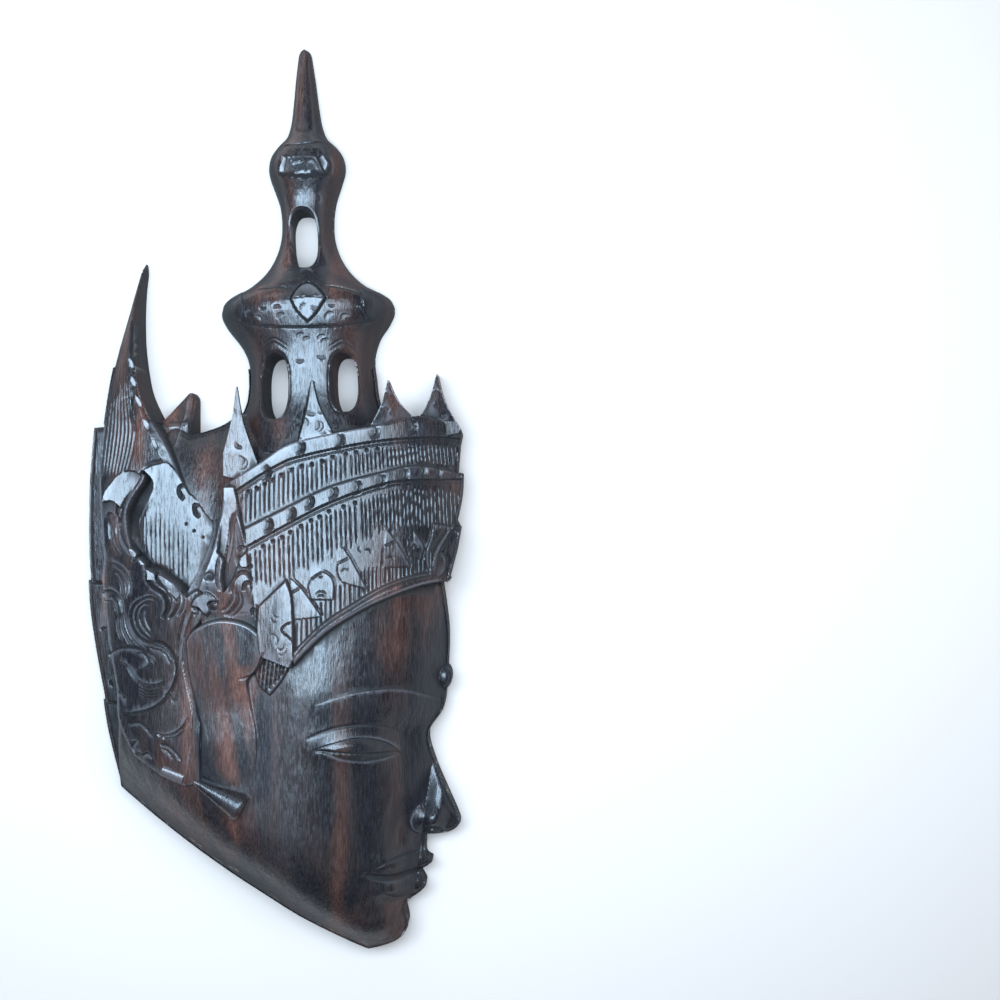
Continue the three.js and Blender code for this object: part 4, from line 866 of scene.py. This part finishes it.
# The curled tip over the ear: a cap made pale with a painted highlight, over two little hooks, one to
# each side of its stalk.
tip_cap = curve_through([
    (-31.6, -51.1, 1), (-30.6, -48.1), (-27.8, -45.4), (-23.8, -44.4), (-20.8, -46.2), (-18.9, -48.5, 1),
    (-21.6, -48.5), (-23, -50.3), (-22.2, -53.5), (-24.2, -55.7, 1), (-26.5, -53.9), (-28.7, -51.8),
    (-31.6, -51.1),
])
raise_over(tip_cap, 1.0, arris=0.5)
x, y = tip_cap.mean(0)
facet(tip_cap * 0.85 + tip_cap.mean(0) * 0.15, leaf_height(x, y) + 2.4, 0.05, 0.0, 0.8, 0.4)
sweep([(-18.9, -49), (-21.2, -49), (-22.5, -50.8), (-21.5, -53), (-19.7, -52.6)], 1.8, 1.2)
sweep([(-31.6, -51.6), (-29.4, -52), (-28.3, -54.3), (-30, -56.2)], 1.8, 1.2, left=False)

# The ear: a round boss over a long stretched lobe that runs down into the jaw, quite smooth, and the
# rod and cone of an ear pin stuck through the lobe's end. Rod and cone are rounded forms of their own.
ear = curve_through([
    (-28.9, -130, 1), (-28.2, -121.7), (-27.5, -110.2), (-28.2, -104.2), (-29.6, -98.8), (-31.3, -89.6),
    (-33.3, -78.2), (-33.8, -71.3), (-34, -67.2), (-30.4, -62.1), (-23, -58.2), (-16.2, -57.1), (-9.4, -58),
    (-3.7, -60.5), (0.5, -64.1), (2.4, -68.6), (2.3, -74.4), (-0.9, -80.2), (-3.7, -82.9), (-6, -86.5),
    (-4.1, -96.8), (-1.8, -108.3), (-1.4, -122.1), (-4.1, -133.7, 1), (-18.1, -135.2, 1), (-28.9, -130),
])


def ear_height(x, y):
    flush = smooth_step(-36, 4, x) * smooth_step(76, 98, -y)
    tipped = 0.05 * np.clip(y + 100, 0, 42)
    return head_height(x, y) + tipped + 4.0 * (1 - 0.85 * flush) * smooth_step(-136, -112, y)


between = curve_through([
    (-38, -64, 1), (-33, -62), (-30, -80), (-27.5, -100), (-28, -133, 1), (-36, -135, 1), (-35, -112),
    (-38, -90), (-38, -64),
])
raise_over(between, lambda x, y: leaf_height(x, y) - 0.5, arris=0.8)
raise_over(ear, ear_height, arris=1.6)
groove([(2.5, -71.3), (-0.4, -78.5), (-3.7, -82.6), (-9.7, -84.7)], 1.3, 0.9, 0.2)
# A highlight is painted along the top of the ear.
polish_and_paint_highlight([(-31.8, -63.9), (-23, -58.9), (-16.2, -57.9), (-9.4, -58.9), (-3.6, -61.4), (-0.1, -64.6)], 0.6)


# The wood's figure: warm red-brown heartwood here and there, and the black streaks that cross it. It is
# in the ebony itself and not painted on, so it runs up the mask along the grain.
WARM = [
    # centre, reach across and along, strength; the first two are chips worn to the bare wood
    ((-79.7, -40.2), 1.8, 5.5, 0.60), ((-84.5, -55.9), 1.5, 6, 0.60),
    ((-20.7, -94.2), 16, 40, 0.17), ((-30.7, 16.6), 7, 12, 0.16), ((-61.1, 30.8), 4, 26, 0.16),
    ((-72.1, -16.8), 3, 12, 0.16), ((-0.1, 95.3), 12, 5, 0.14), ((29.3, 96.2), 4, 5, 0.18),
    ((5.8, 191), 6, 22, 0.10), ((5.6, 118.9), 4, 16, 0.10), ((31.2, 114.7), 5, 8, 0.12),
    ((4.8, -29.9), 6, 14, 0.12), ((-8.7, -89.3), 8, 20, 0.10), ((55.3, -140.5), 7, 34, 0.10),
    ((69.5, -50.2), 12, 10, 0.10), ((30.4, -180.3), 9, 36, 0.06), ((-12.6, -20.8), 5, 14, 0.10),
    ((-47.1, -120.3), 6, 16, 0.10), ((88.2, 2.3), 4, 10, 0.14), ((60.4, -71.1), 9, 10, 0.12),
    ((-55.5, -91.1), 20, 45, -0.07), ((-44.6, -113.3), 12, 14, -0.06), ((60.9, 2.2), 26, 30, -0.16),
    ((81.4, -23.9), 12, 16, -0.12), ((76.6, 30.9), 16, 14, -0.14), ((-42.9, -11.9), 18, 16, -0.10),
    ((-20.4, -20.8), 8, 20, -0.10), ((71, -119.4), 20, 50, -0.08),
]
BLACK = [
    # the run of each streak, its width, how black it is
    ([(-18.7, -58), (-18, -68.8), (-15.6, -84.7), (-14.1, -94.4), (-11.4, -104.6), (-8.7, -117.5),
      (-6, -133.7)], 3.0, 0.30),
    ([(-6.4, -58), (-6, -68.7), (-7.4, -79.2)], 4.5, 0.26),
    ([(0.5, -89.9), (0.9, -113), (0.4, -140.6)], 3.5, 0.22),
    ([(44.7, -81.8), (45.5, -110), (47.3, -148.7)], 3.5, 0.16),
    ([(-25.7, -131.8), (-17.6, -135.6), (-6.9, -141.5)], 5.0, 0.22),
    ([(-29.3, -89.6), (-27.5, -112.5), (-25.3, -135.5)], 2.5, 0.18),
    ([(26, -90.2), (28.5, -122.8), (30.9, -156)], 5.0, 0.12),
    ([(-68.6, 85.1), (-67.3, 60), (-65.5, 35.8)], 2.0, 0.20),
]
figure = sum(amount * bump(X - x, Y - y, across, along) for (x, y), across, along, amount in WARM)
for path, width, amount in BLACK:
    gap, _, along = from_path(curve_through(path), X, Y)
    figure -= amount * np.exp(-((gap / width) ** 2)) * clamp(6 * np.minimum(along, 1 - along) + 0.3)


# The finished front: outer edges eased by years of handling, and the slight unevenness of hand work.
# The painted shade in the cuts and the painted highlights on the raised edges are worked out here,
# for the look of the wood.
def blurred(field, reach):
    """The field averaged over about that many millimetres."""
    steps = np.arange(-int(3 * reach / CELL), int(3 * reach / CELL) + 1)
    weights = np.exp(-0.5 * (steps * CELL / reach) ** 2)
    for axis in (0, 1):
        field = sum(w * np.roll(field, step, axis) for w, step in zip(weights, steps)) / weights.sum()
    return field


def cloud(across, along, reach):
    """A smooth random field whose lumps are about so many millimetres across and along the grain."""
    lumps = chance.normal(size=(int(len(rows) * CELL / along) + 3, int(len(columns) * CELL / across) + 3))
    down = np.linspace(0, lumps.shape[0] - 1.001, len(rows))[:, None]
    over = np.linspace(0, lumps.shape[1] - 1.001, len(columns))[None, :]
    i, j, u, v = down.astype(int), over.astype(int), down % 1, over % 1
    u, v = u * u * (3 - 2 * u), v * v * (3 - 2 * v)
    above, below = (lumps[k, j] * (1 - v) + lumps[k, j + 1] * v for k in (i, i + 1))
    return reach * (above * (1 - u) + below * u)


for rim in window_rims:
    patch = patch_around(rim, 1)
    cover[patch] *= clamp(0.5 - depth_inside(rim, X[patch], Y[patch]) / CELL)
# Just outside the outline the field runs on level, so that the sawn edge gets its full height.
sure = (cover > 0.99) & (blurred(cover, 0.3) > 0.985)
share = blurred(sure.astype(float), 0.8)
spread = blurred(np.where(sure, top, 0), 0.8) / np.maximum(share, 1e-6)
extended = np.where(sure, top, np.where(share > 1e-3, spread, 0))
TOWER_FOOT = 62
top = np.where(Y > TOWER_FOOT, np.maximum(top, 0), extended)
eased = clamp(2 * blurred(cover, 1.1) - 1)
body = clamp((TOWER_FOOT - Y) / 10)
top -= 1.6 * body * (1 - np.sqrt(1 - (1 - eased) ** 2))
top += body * cloud(9, 24, 0.06)
THINNEST, THICKEST = 1.2, 60.5
top = np.clip(top, THINNEST, THICKEST)
# Shade is painted where the wood lies lower than what is around it, and a highlight where it stands up.
tower_across = (X - np.interp(Y, *TOWER_CENTRE.T)) / np.maximum(0.5, np.interp(Y, *tower_edge[:, ::-1].T))
inner = clamp(3 * blurred(cover, 1.8) - 2)
inner = inner * np.where(Y > TOWER_FOOT - 4, clamp(6 - 7 * np.abs(tower_across)), 1)
cavity_shade = np.maximum(clamp(((blurred(top, 0.6) - top) * inner - 0.07) / 0.5), 0.9 * cut_shade)
painted_highlight = clamp(((blurred(top, 0.3) - blurred(top, 0.8)) * inner - 0.16) / 0.5)
painted_highlight = np.maximum(painted_highlight, 0.8 * painted_glints) * (1 - cavity_shade)


# Sawn out: the field becomes the front of a closed block, the outlines are cut through it down to the
# flat back, the windows are pierced, and the blades and the ear pin are joined on.
MM = 0.001
SHIFT = (0.5, 0.14, 0)  # from the drawing's middle to the middle of the object
ABOVE = 80  # clear of the highest carving
MOST_TRIANGLES = 196000


def new_object(name, shape):
    bmesh.ops.recalc_face_normals(shape, faces=shape.faces)
    mesh = bpy.data.meshes.new(name)
    shape.to_mesh(mesh)
    shape.free()
    piece = bpy.data.objects.new(name, mesh)
    bpy.context.scene.collection.objects.link(piece)
    return piece


def evaluated_mesh(piece):
    bpy.context.view_layer.update()
    mesh = bpy.data.meshes.new_from_object(piece.evaluated_get(bpy.context.evaluated_depsgraph_get()))
    piece.modifiers.clear()
    return mesh


def places_of(mesh, name="co"):
    places = np.empty(3 * len(mesh.vertices))
    mesh.vertices.foreach_get(name, places)
    return places.reshape(-1, 3)


def combine(piece, tool, operation):
    """Joins or cuts one closed shape with another, which is used up."""
    cut = piece.modifiers.new("cut", "BOOLEAN")
    cut.operation, cut.solver, cut.object = operation, "MANIFOLD", tool
    piece.data = evaluated_mesh(piece)
    bpy.data.objects.remove(tool)


def prism(outline, low=0, high=ABOVE):
    """An outline sawn straight through, without the places that lie on top of each other."""
    apart = np.hypot(*(outline - np.roll(outline, 1, axis=0)).T) > 0.03
    shape = bmesh.new()
    face = shape.faces.new([shape.verts.new((x, y, low)) for x, y in outline[apart]])
    lifted = bmesh.ops.extrude_face_region(shape, geom=[face])
    corners = [item for item in lifted["geom"] if isinstance(item, bmesh.types.BMVert)]
    bmesh.ops.translate(shape, verts=corners, vec=(0, 0, high - low))
    bmesh.ops.triangulate(shape, faces=shape.faces)
    return new_object("outline", shape)


def block_under(field, patch, base):
    """A closed block whose front follows the field over a patch of the plank."""
    x, y, z = X[patch], Y[patch], field[patch]
    shape = bmesh.new()
    spans = (x[0, -1] - x[0, 0], y[-1, 0] - y[0, 0])
    bmesh.ops.create_grid(shape, x_segments=x.shape[1] - 1, y_segments=x.shape[0] - 1, size=0.5,
                          matrix=Matrix.Diagonal((*spans, 1, 1)))
    sides = bmesh.ops.extrude_edge_only(shape, edges=[edge for edge in shape.edges if edge.is_boundary])
    lowered = [item for item in sides["geom"] if isinstance(item, bmesh.types.BMVert)]
    bmesh.ops.translate(shape, verts=lowered, vec=(0, 0, -1))
    bmesh.ops.contextual_create(shape, geom=[edge for edge in shape.edges if edge.is_boundary])
    piece = new_object("block", shape)
    places = places_of(piece.data)
    across = np.rint((places[:, 0] + spans[0] / 2) / CELL).astype(int)
    along = np.rint((places[:, 1] + spans[1] / 2) / CELL).astype(int)
    places[:, 2] = np.where(places[:, 2] < -0.5, base, z[along, across])
    places[:, 0] += x[0, 0] + spans[0] / 2
    places[:, 1] += y[0, 0] + spans[1] / 2
    piece.data.vertices.foreach_set("co", places.ravel())
    piece.data.update()
    return piece


stencil = prism(footprints[0])
for outline in footprints[1:]:
    combine(stencil, prism(outline), "UNION")
for rim in window_rims:
    combine(stencil, prism(rim, -5, 90), "DIFFERENCE")
mask = block_under(top, (slice(0, len(rows)), slice(0, len(columns))), -3)
combine(mask, stencil, "INTERSECT")
for outline, (*_, underside, _, _) in zip(blade_outlines, BLADES):
    patch = patch_around(outline, 2)
    solid = depth_inside(outline, X[patch], Y[patch]) > 0.3
    filled = blurred(np.where(solid, blade_top[patch], 0), 0.6)
    weight = blurred(solid.astype(float), 0.6)
    field = np.zeros(X.shape)
    field[patch] = np.where(solid, blade_top[patch], filled / np.maximum(weight, 0.02))
    blade = block_under(field, patch, -4)
    combine(blade, prism(outline, max(underside, 0)), "INTERSECT")
    combine(mask, blade, "UNION")

# The pin's cone is turned from its profile; the rod is a flattened stick with eased ends.
pin = bmesh.new()
profile = [
    (0, 0), (0.9, 0), (1.3, 0.5), (3.6, 11), (6.2, 22.4), (6.7, 23.2), (6.6, 24.6), (5.6, 26), (0, 26.4),
]
run = [pin.verts.new((x, y, 0)) for x, y in profile]
edges = [pin.edges.new(pair) for pair in zip(run, run[1:])]
bmesh.ops.spin(pin, geom=run + edges, axis=(0, 1, 0), cent=(0, 0, 0), angle=2 * np.pi, steps=48,
               use_merge=True)
bmesh.ops.remove_doubles(pin, verts=pin.verts, dist=1e-4)
bmesh.ops.transform(pin, verts=pin.verts, matrix=Matrix.Translation((-31, -132, 51))
                    @ Matrix.Rotation(np.pi + np.arctan2(22, 12), 4, "Z"))
combine(mask, new_object("pin", pin), "UNION")
rod = bmesh.new()
bmesh.ops.create_cone(rod, cap_ends=True, segments=32, radius1=2.4, radius2=2.4, depth=11)
bmesh.ops.bevel(rod, geom=[edge for edge in rod.edges if edge.calc_face_angle(0) > 1], offset=0.5,
                affect="EDGES", segments=3, profile=0.5, material=-1)
bmesh.ops.transform(rod, verts=rod.verts, matrix=Matrix.Translation((-41, -129, top_at(-41, -129) + 0.6))
                    @ Matrix.Diagonal((1, 1, 0.7, 1)) @ Matrix.Rotation(np.arctan2(9, 3.5), 4, "Z")
                    @ Matrix.Rotation(np.pi / 2, 4, "X"))
combine(mask, new_object("rod", rod), "UNION")

mask.name = "carved_mask"
mask.data.transform(Matrix.Diagonal((MM, MM, MM, 1)) @ Matrix.Translation(SHIFT))
thin = mask.modifiers.new("thin", "DECIMATE")
mask.data.calc_loop_triangles()
thin.ratio = min(1, MOST_TRIANGLES / len(mask.data.loop_triangles))
mask.data = evaluated_mesh(mask)
mask.data.name = "carved_mask"
mask.data.polygons.foreach_set("use_smooth", np.ones(len(mask.data.polygons), bool))
CREASE = np.radians(40)
mask.data.set_sharp_from_angle(angle=CREASE)
even = mask.modifiers.new("even_shading", "WEIGHTED_NORMAL")  # keeps the flats between the cuts flat
even.mode, even.weight, even.keep_sharp = "FACE_AREA", 80, True

# Each place of the mesh takes what the field knows of it: painted shade in the cuts, painted highlights
# on the edges, the figure, and sawn sides that are duller and painted darker as shade.
places, facing = places_of(mask.data) / MM, places_of(mask.data, "normal")[:, 2]
across = np.clip(np.rint((places[:, 0] - SHIFT[0] - columns[0]) / CELL).astype(int), 0, len(columns) - 1)
along = np.clip(np.rint((places[:, 1] - SHIFT[1] - rows[0]) / CELL).astype(int), 0, len(rows) - 1)
over = places[:, 2] - top[along, across]
PIN_END, ROD_SIDE = -118, -34  # the ear pin lies below the one, its rod to the left of the other
pin_part = (places[:, 1] < PIN_END) & (over > 0.3)
rod_part = pin_part & (places[:, 0] < ROD_SIDE)
front = over > -1.5
# Steep faces count as sawn sides: they are duller, and painted darker as shade.
side = smooth_step(0.80, 0.40, facing)
# The ear pin gets no painted shade, and its rod gets a painted highlight.
for name, values in (
    ("cavity_shade", np.where(front & ~pin_part, cavity_shade[along, across], 0)),
    ("painted_highlight", np.where(pin_part, 0.5 * rod_part, np.where(front, painted_highlight[along, across], 0))),
    ("figure", figure[along, across]),
    ("side", np.where(pin_part, 0, np.where(front, side, 1))),
):
    mask.data.attributes.new(name, "FLOAT", "POINT").data.foreach_set("value", values.astype(np.float32))
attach(mask, "root")
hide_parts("mask")

# The ebony: near-black heartwood with reddish brown streaks that run up the mask, fine open pores, and
# old wax: glossy on the high places and duller in the cuts. Shade is painted darker into the cuts and onto
# the steep sides, and highlights are painted lighter along the edges.
ebony = bpy.data.materials.new("streaked_ebony")
ebony.use_nodes = True
nodes, links = ebony.node_tree.nodes, ebony.node_tree.links
surface = nodes["Principled BSDF"]
place = nodes.new("ShaderNodeTexCoord").outputs["Object"]


def feed(socket, value):
    """A socket takes a link, a colour or a plain number."""
    if isinstance(value, bpy.types.NodeSocket):
        links.new(value, socket)
    else:
        socket.default_value = (*value, 1) if isinstance(value, tuple) else value


def noise(scale, detail, rough=0.55, wander=0.0):
    """Mottling with so many lumps to a metre each way, so it can be long along the grain."""
    mapping = nodes.new("ShaderNodeMapping")
    mapping.inputs["Scale"].default_value = scale
    links.new(place, mapping.inputs["Vector"])
    node = nodes.new("ShaderNodeTexNoise")
    settings = {"Scale": 1.0, "Detail": detail, "Roughness": rough, "Distortion": wander}
    for name, value in [("Vector", mapping.outputs["Vector"]), *settings.items()]:
        feed(node.inputs[name], value)
    return node.outputs["Fac"]


def ramp(value, stops):
    node = nodes.new("ShaderNodeValToRGB")
    while len(node.color_ramp.elements) < len(stops):
        node.color_ramp.elements.new(0.5)
    for element, (at, colour) in zip(node.color_ramp.elements, stops):
        element.position = at
        element.color = (*colour, 1) if isinstance(colour, tuple) else (colour,) * 3 + (1,)
    links.new(value, node.inputs["Fac"])
    return node.outputs["Color"]


def mixed(kind, share, a, b):
    node = nodes.new("ShaderNodeMix")
    node.data_type, node.blend_type = "RGBA", kind
    for socket, value in ((node.inputs["Factor"], share), (node.inputs[6], a), (node.inputs[7], b)):
        feed(socket, value)
    return node.outputs[2]


def calculated(kind, *values):
    node = nodes.new("ShaderNodeMath")
    node.operation, node.use_clamp = kind, True
    for socket, value in zip(node.inputs, values):
        feed(socket, value)
    return node.outputs[0]


def carried(name):
    """What the carving left on the mesh under that name."""
    attribute = nodes.new("ShaderNodeAttribute")
    attribute.attribute_name = name
    return attribute.outputs["Fac"]


def uneven(height, strength, distance, under=None):
    """A fine unevenness that only the light shows, laid over another one."""
    node = nodes.new("ShaderNodeBump")
    node.inputs["Strength"].default_value = strength
    node.inputs["Distance"].default_value = distance
    links.new(height, node.inputs["Height"])
    if under:
        links.new(under, node.inputs["Normal"])
    return node.outputs["Normal"]


# These carry the painted shade of the cuts, the painted highlights of the edges, and the steep sides, painted
# darker as shade.
hollows, edges, sawn_and_shaded_sides = carried("cavity_shade"), carried("painted_highlight"), carried("side")
streaks = ramp(calculated("ADD", noise((55, 3.2, 38), detail=2, wander=0.4), carried("figure")), [
    (0.40, (0.009, 0.008, 0.010)), (0.50, (0.020, 0.014, 0.014)), (0.60, (0.042, 0.020, 0.016)),
    (0.74, (0.088, 0.037, 0.027)), (0.85, (0.10, 0.042, 0.028)), (0.99, (0.34, 0.14, 0.07)),
])
fibre = ramp(noise((1500, 130, 1100), detail=2), [(0.32, 0.55), (0.68, 1.5)])
bloom = ramp(noise((34, 14, 30), detail=3), [(0.35, 0.70), (0.70, 1.25)])
wood = mixed("MULTIPLY", 1.0, mixed("MULTIPLY", 1.0, streaks, fibre), bloom)
# A highlight is painted along the edges, as a lighter colour.
wood = mixed("MIX", calculated("MULTIPLY", edges, 0.45), wood, (0.18, 0.17, 0.18))
# Shade is painted into the cuts, as a darker colour.
wood = mixed("MULTIPLY", hollows, wood, (0.16, 0.14, 0.14))
# Shade is painted onto the steep sides, as a darker colour.
wood = mixed("MULTIPLY", sawn_and_shaded_sides, wood, (0.58, 0.48, 0.45))
links.new(wood, surface.inputs["Base Color"])
gloss = ramp(noise((240, 50, 240), detail=4), [(0.30, 0.18), (0.75, 0.32)])
pores = ramp(noise((1500, 190, 1200), detail=3, rough=0.65), [(0.50, 0.0), (0.62, 1.0)])
gloss = mixed("MIX", calculated("MULTIPLY", pores, 0.55), gloss, (0.60, 0.60, 0.60))
gloss = mixed("MIX", hollows, mixed("MIX", edges, gloss, (0.20, 0.20, 0.20)), (0.75, 0.75, 0.75))
gloss = mixed("MIX", sawn_and_shaded_sides, gloss, (1.0, 1.0, 1.0))
links.new(gloss, surface.inputs["Roughness"])
surface.inputs["Specular IOR Level"].default_value = 0.6
grain = uneven(noise((1300, 200, 1200), detail=3), 0.5, 0.0003)
tooling = uneven(noise((190, 90, 190), detail=2), 0.4, 0.0009, under=grain)
links.new(tooling, surface.inputs["Normal"])
mask.data.materials.clear()
mask.data.materials.append(ebony)

# The stage: a plain white table under a broad cool window straight above, with the room, the sky and a
# weak warm fill around it.
floor_shape = bmesh.new()
bmesh.ops.create_grid(floor_shape, x_segments=1, y_segments=1, size=4)
bmesh.ops.translate(floor_shape, verts=floor_shape.verts, vec=(0, 0, -0.0003))
floor = new_object("floor", floor_shape)
paint = bpy.data.materials.new("white_table")
paint.use_nodes = True
coat = paint.node_tree.nodes["Principled BSDF"].inputs
coat["Base Color"].default_value, coat["Roughness"].default_value = (0.60, 0.50, 0.44, 1), 0.9
floor.data.materials.append(paint)

world = bpy.data.worlds.new("studio")
bpy.context.scene.world = world
world.use_nodes = True
air = world.node_tree.nodes["Background"].inputs
air["Color"].default_value, air["Strength"].default_value = (0.70, 0.80, 1.0, 1), 0.11


def soft_light(name, place, aim, size, power, colour):
    lamp = bpy.data.lights.new(name, "AREA")
    lamp.shape, lamp.size, lamp.size_y = "RECTANGLE", *size
    lamp.energy, lamp.color = power, colour
    holder = bpy.data.objects.new(name, lamp)
    holder.location = place
    holder.rotation_euler = (Vector(aim) - Vector(place)).to_track_quat("-Z", "Y").to_euler()
    bpy.context.scene.collection.objects.link(holder)


soft_light("window", (-0.12, 0.12, 0.66), (-0.12, 0.12, 0), (0.64, 0.31), 11.6, (0.58, 0.79, 1.0))
soft_light("window_foot", (0.12, -0.104, 0.66), (0.12, -0.104, 0), (0.28, 0.115), 2.1, (0.58, 0.79, 1.0))
soft_light("room", (-0.42, -0.32, 0.66), (-0.42, -0.32, 0), (0.8, 0.55), 0.8, (0.72, 0.86, 1.0))
soft_light("side_window", (0.41, 0.13, 0.66), (0.1, 0.05, 0), (0.36, 0.34), 3.6, (0.70, 0.84, 1.0))
soft_light("skylight", (-0.30, 1.10, 0.60), (0.0, 0.05, 0), (1.2, 0.5), 3, (0.84, 0.92, 1.0))
soft_light("fill", (0.9, -0.8, 1.1), (0.1, -0.1, 0), (1.2, 1.2), 0.9, (1.0, 0.96, 0.92))

camera = bpy.data.objects.new("camera", bpy.data.cameras.new("camera"))
camera.location = (0.1105, -0.00236, 0.640)
camera.data.sensor_width = 36
camera.data.lens = 46.08
camera.data.clip_start = 0.01
bpy.context.scene.collection.objects.link(camera)
bpy.context.scene.camera = camera
bpy.context.scene.view_settings.view_transform = "Standard"
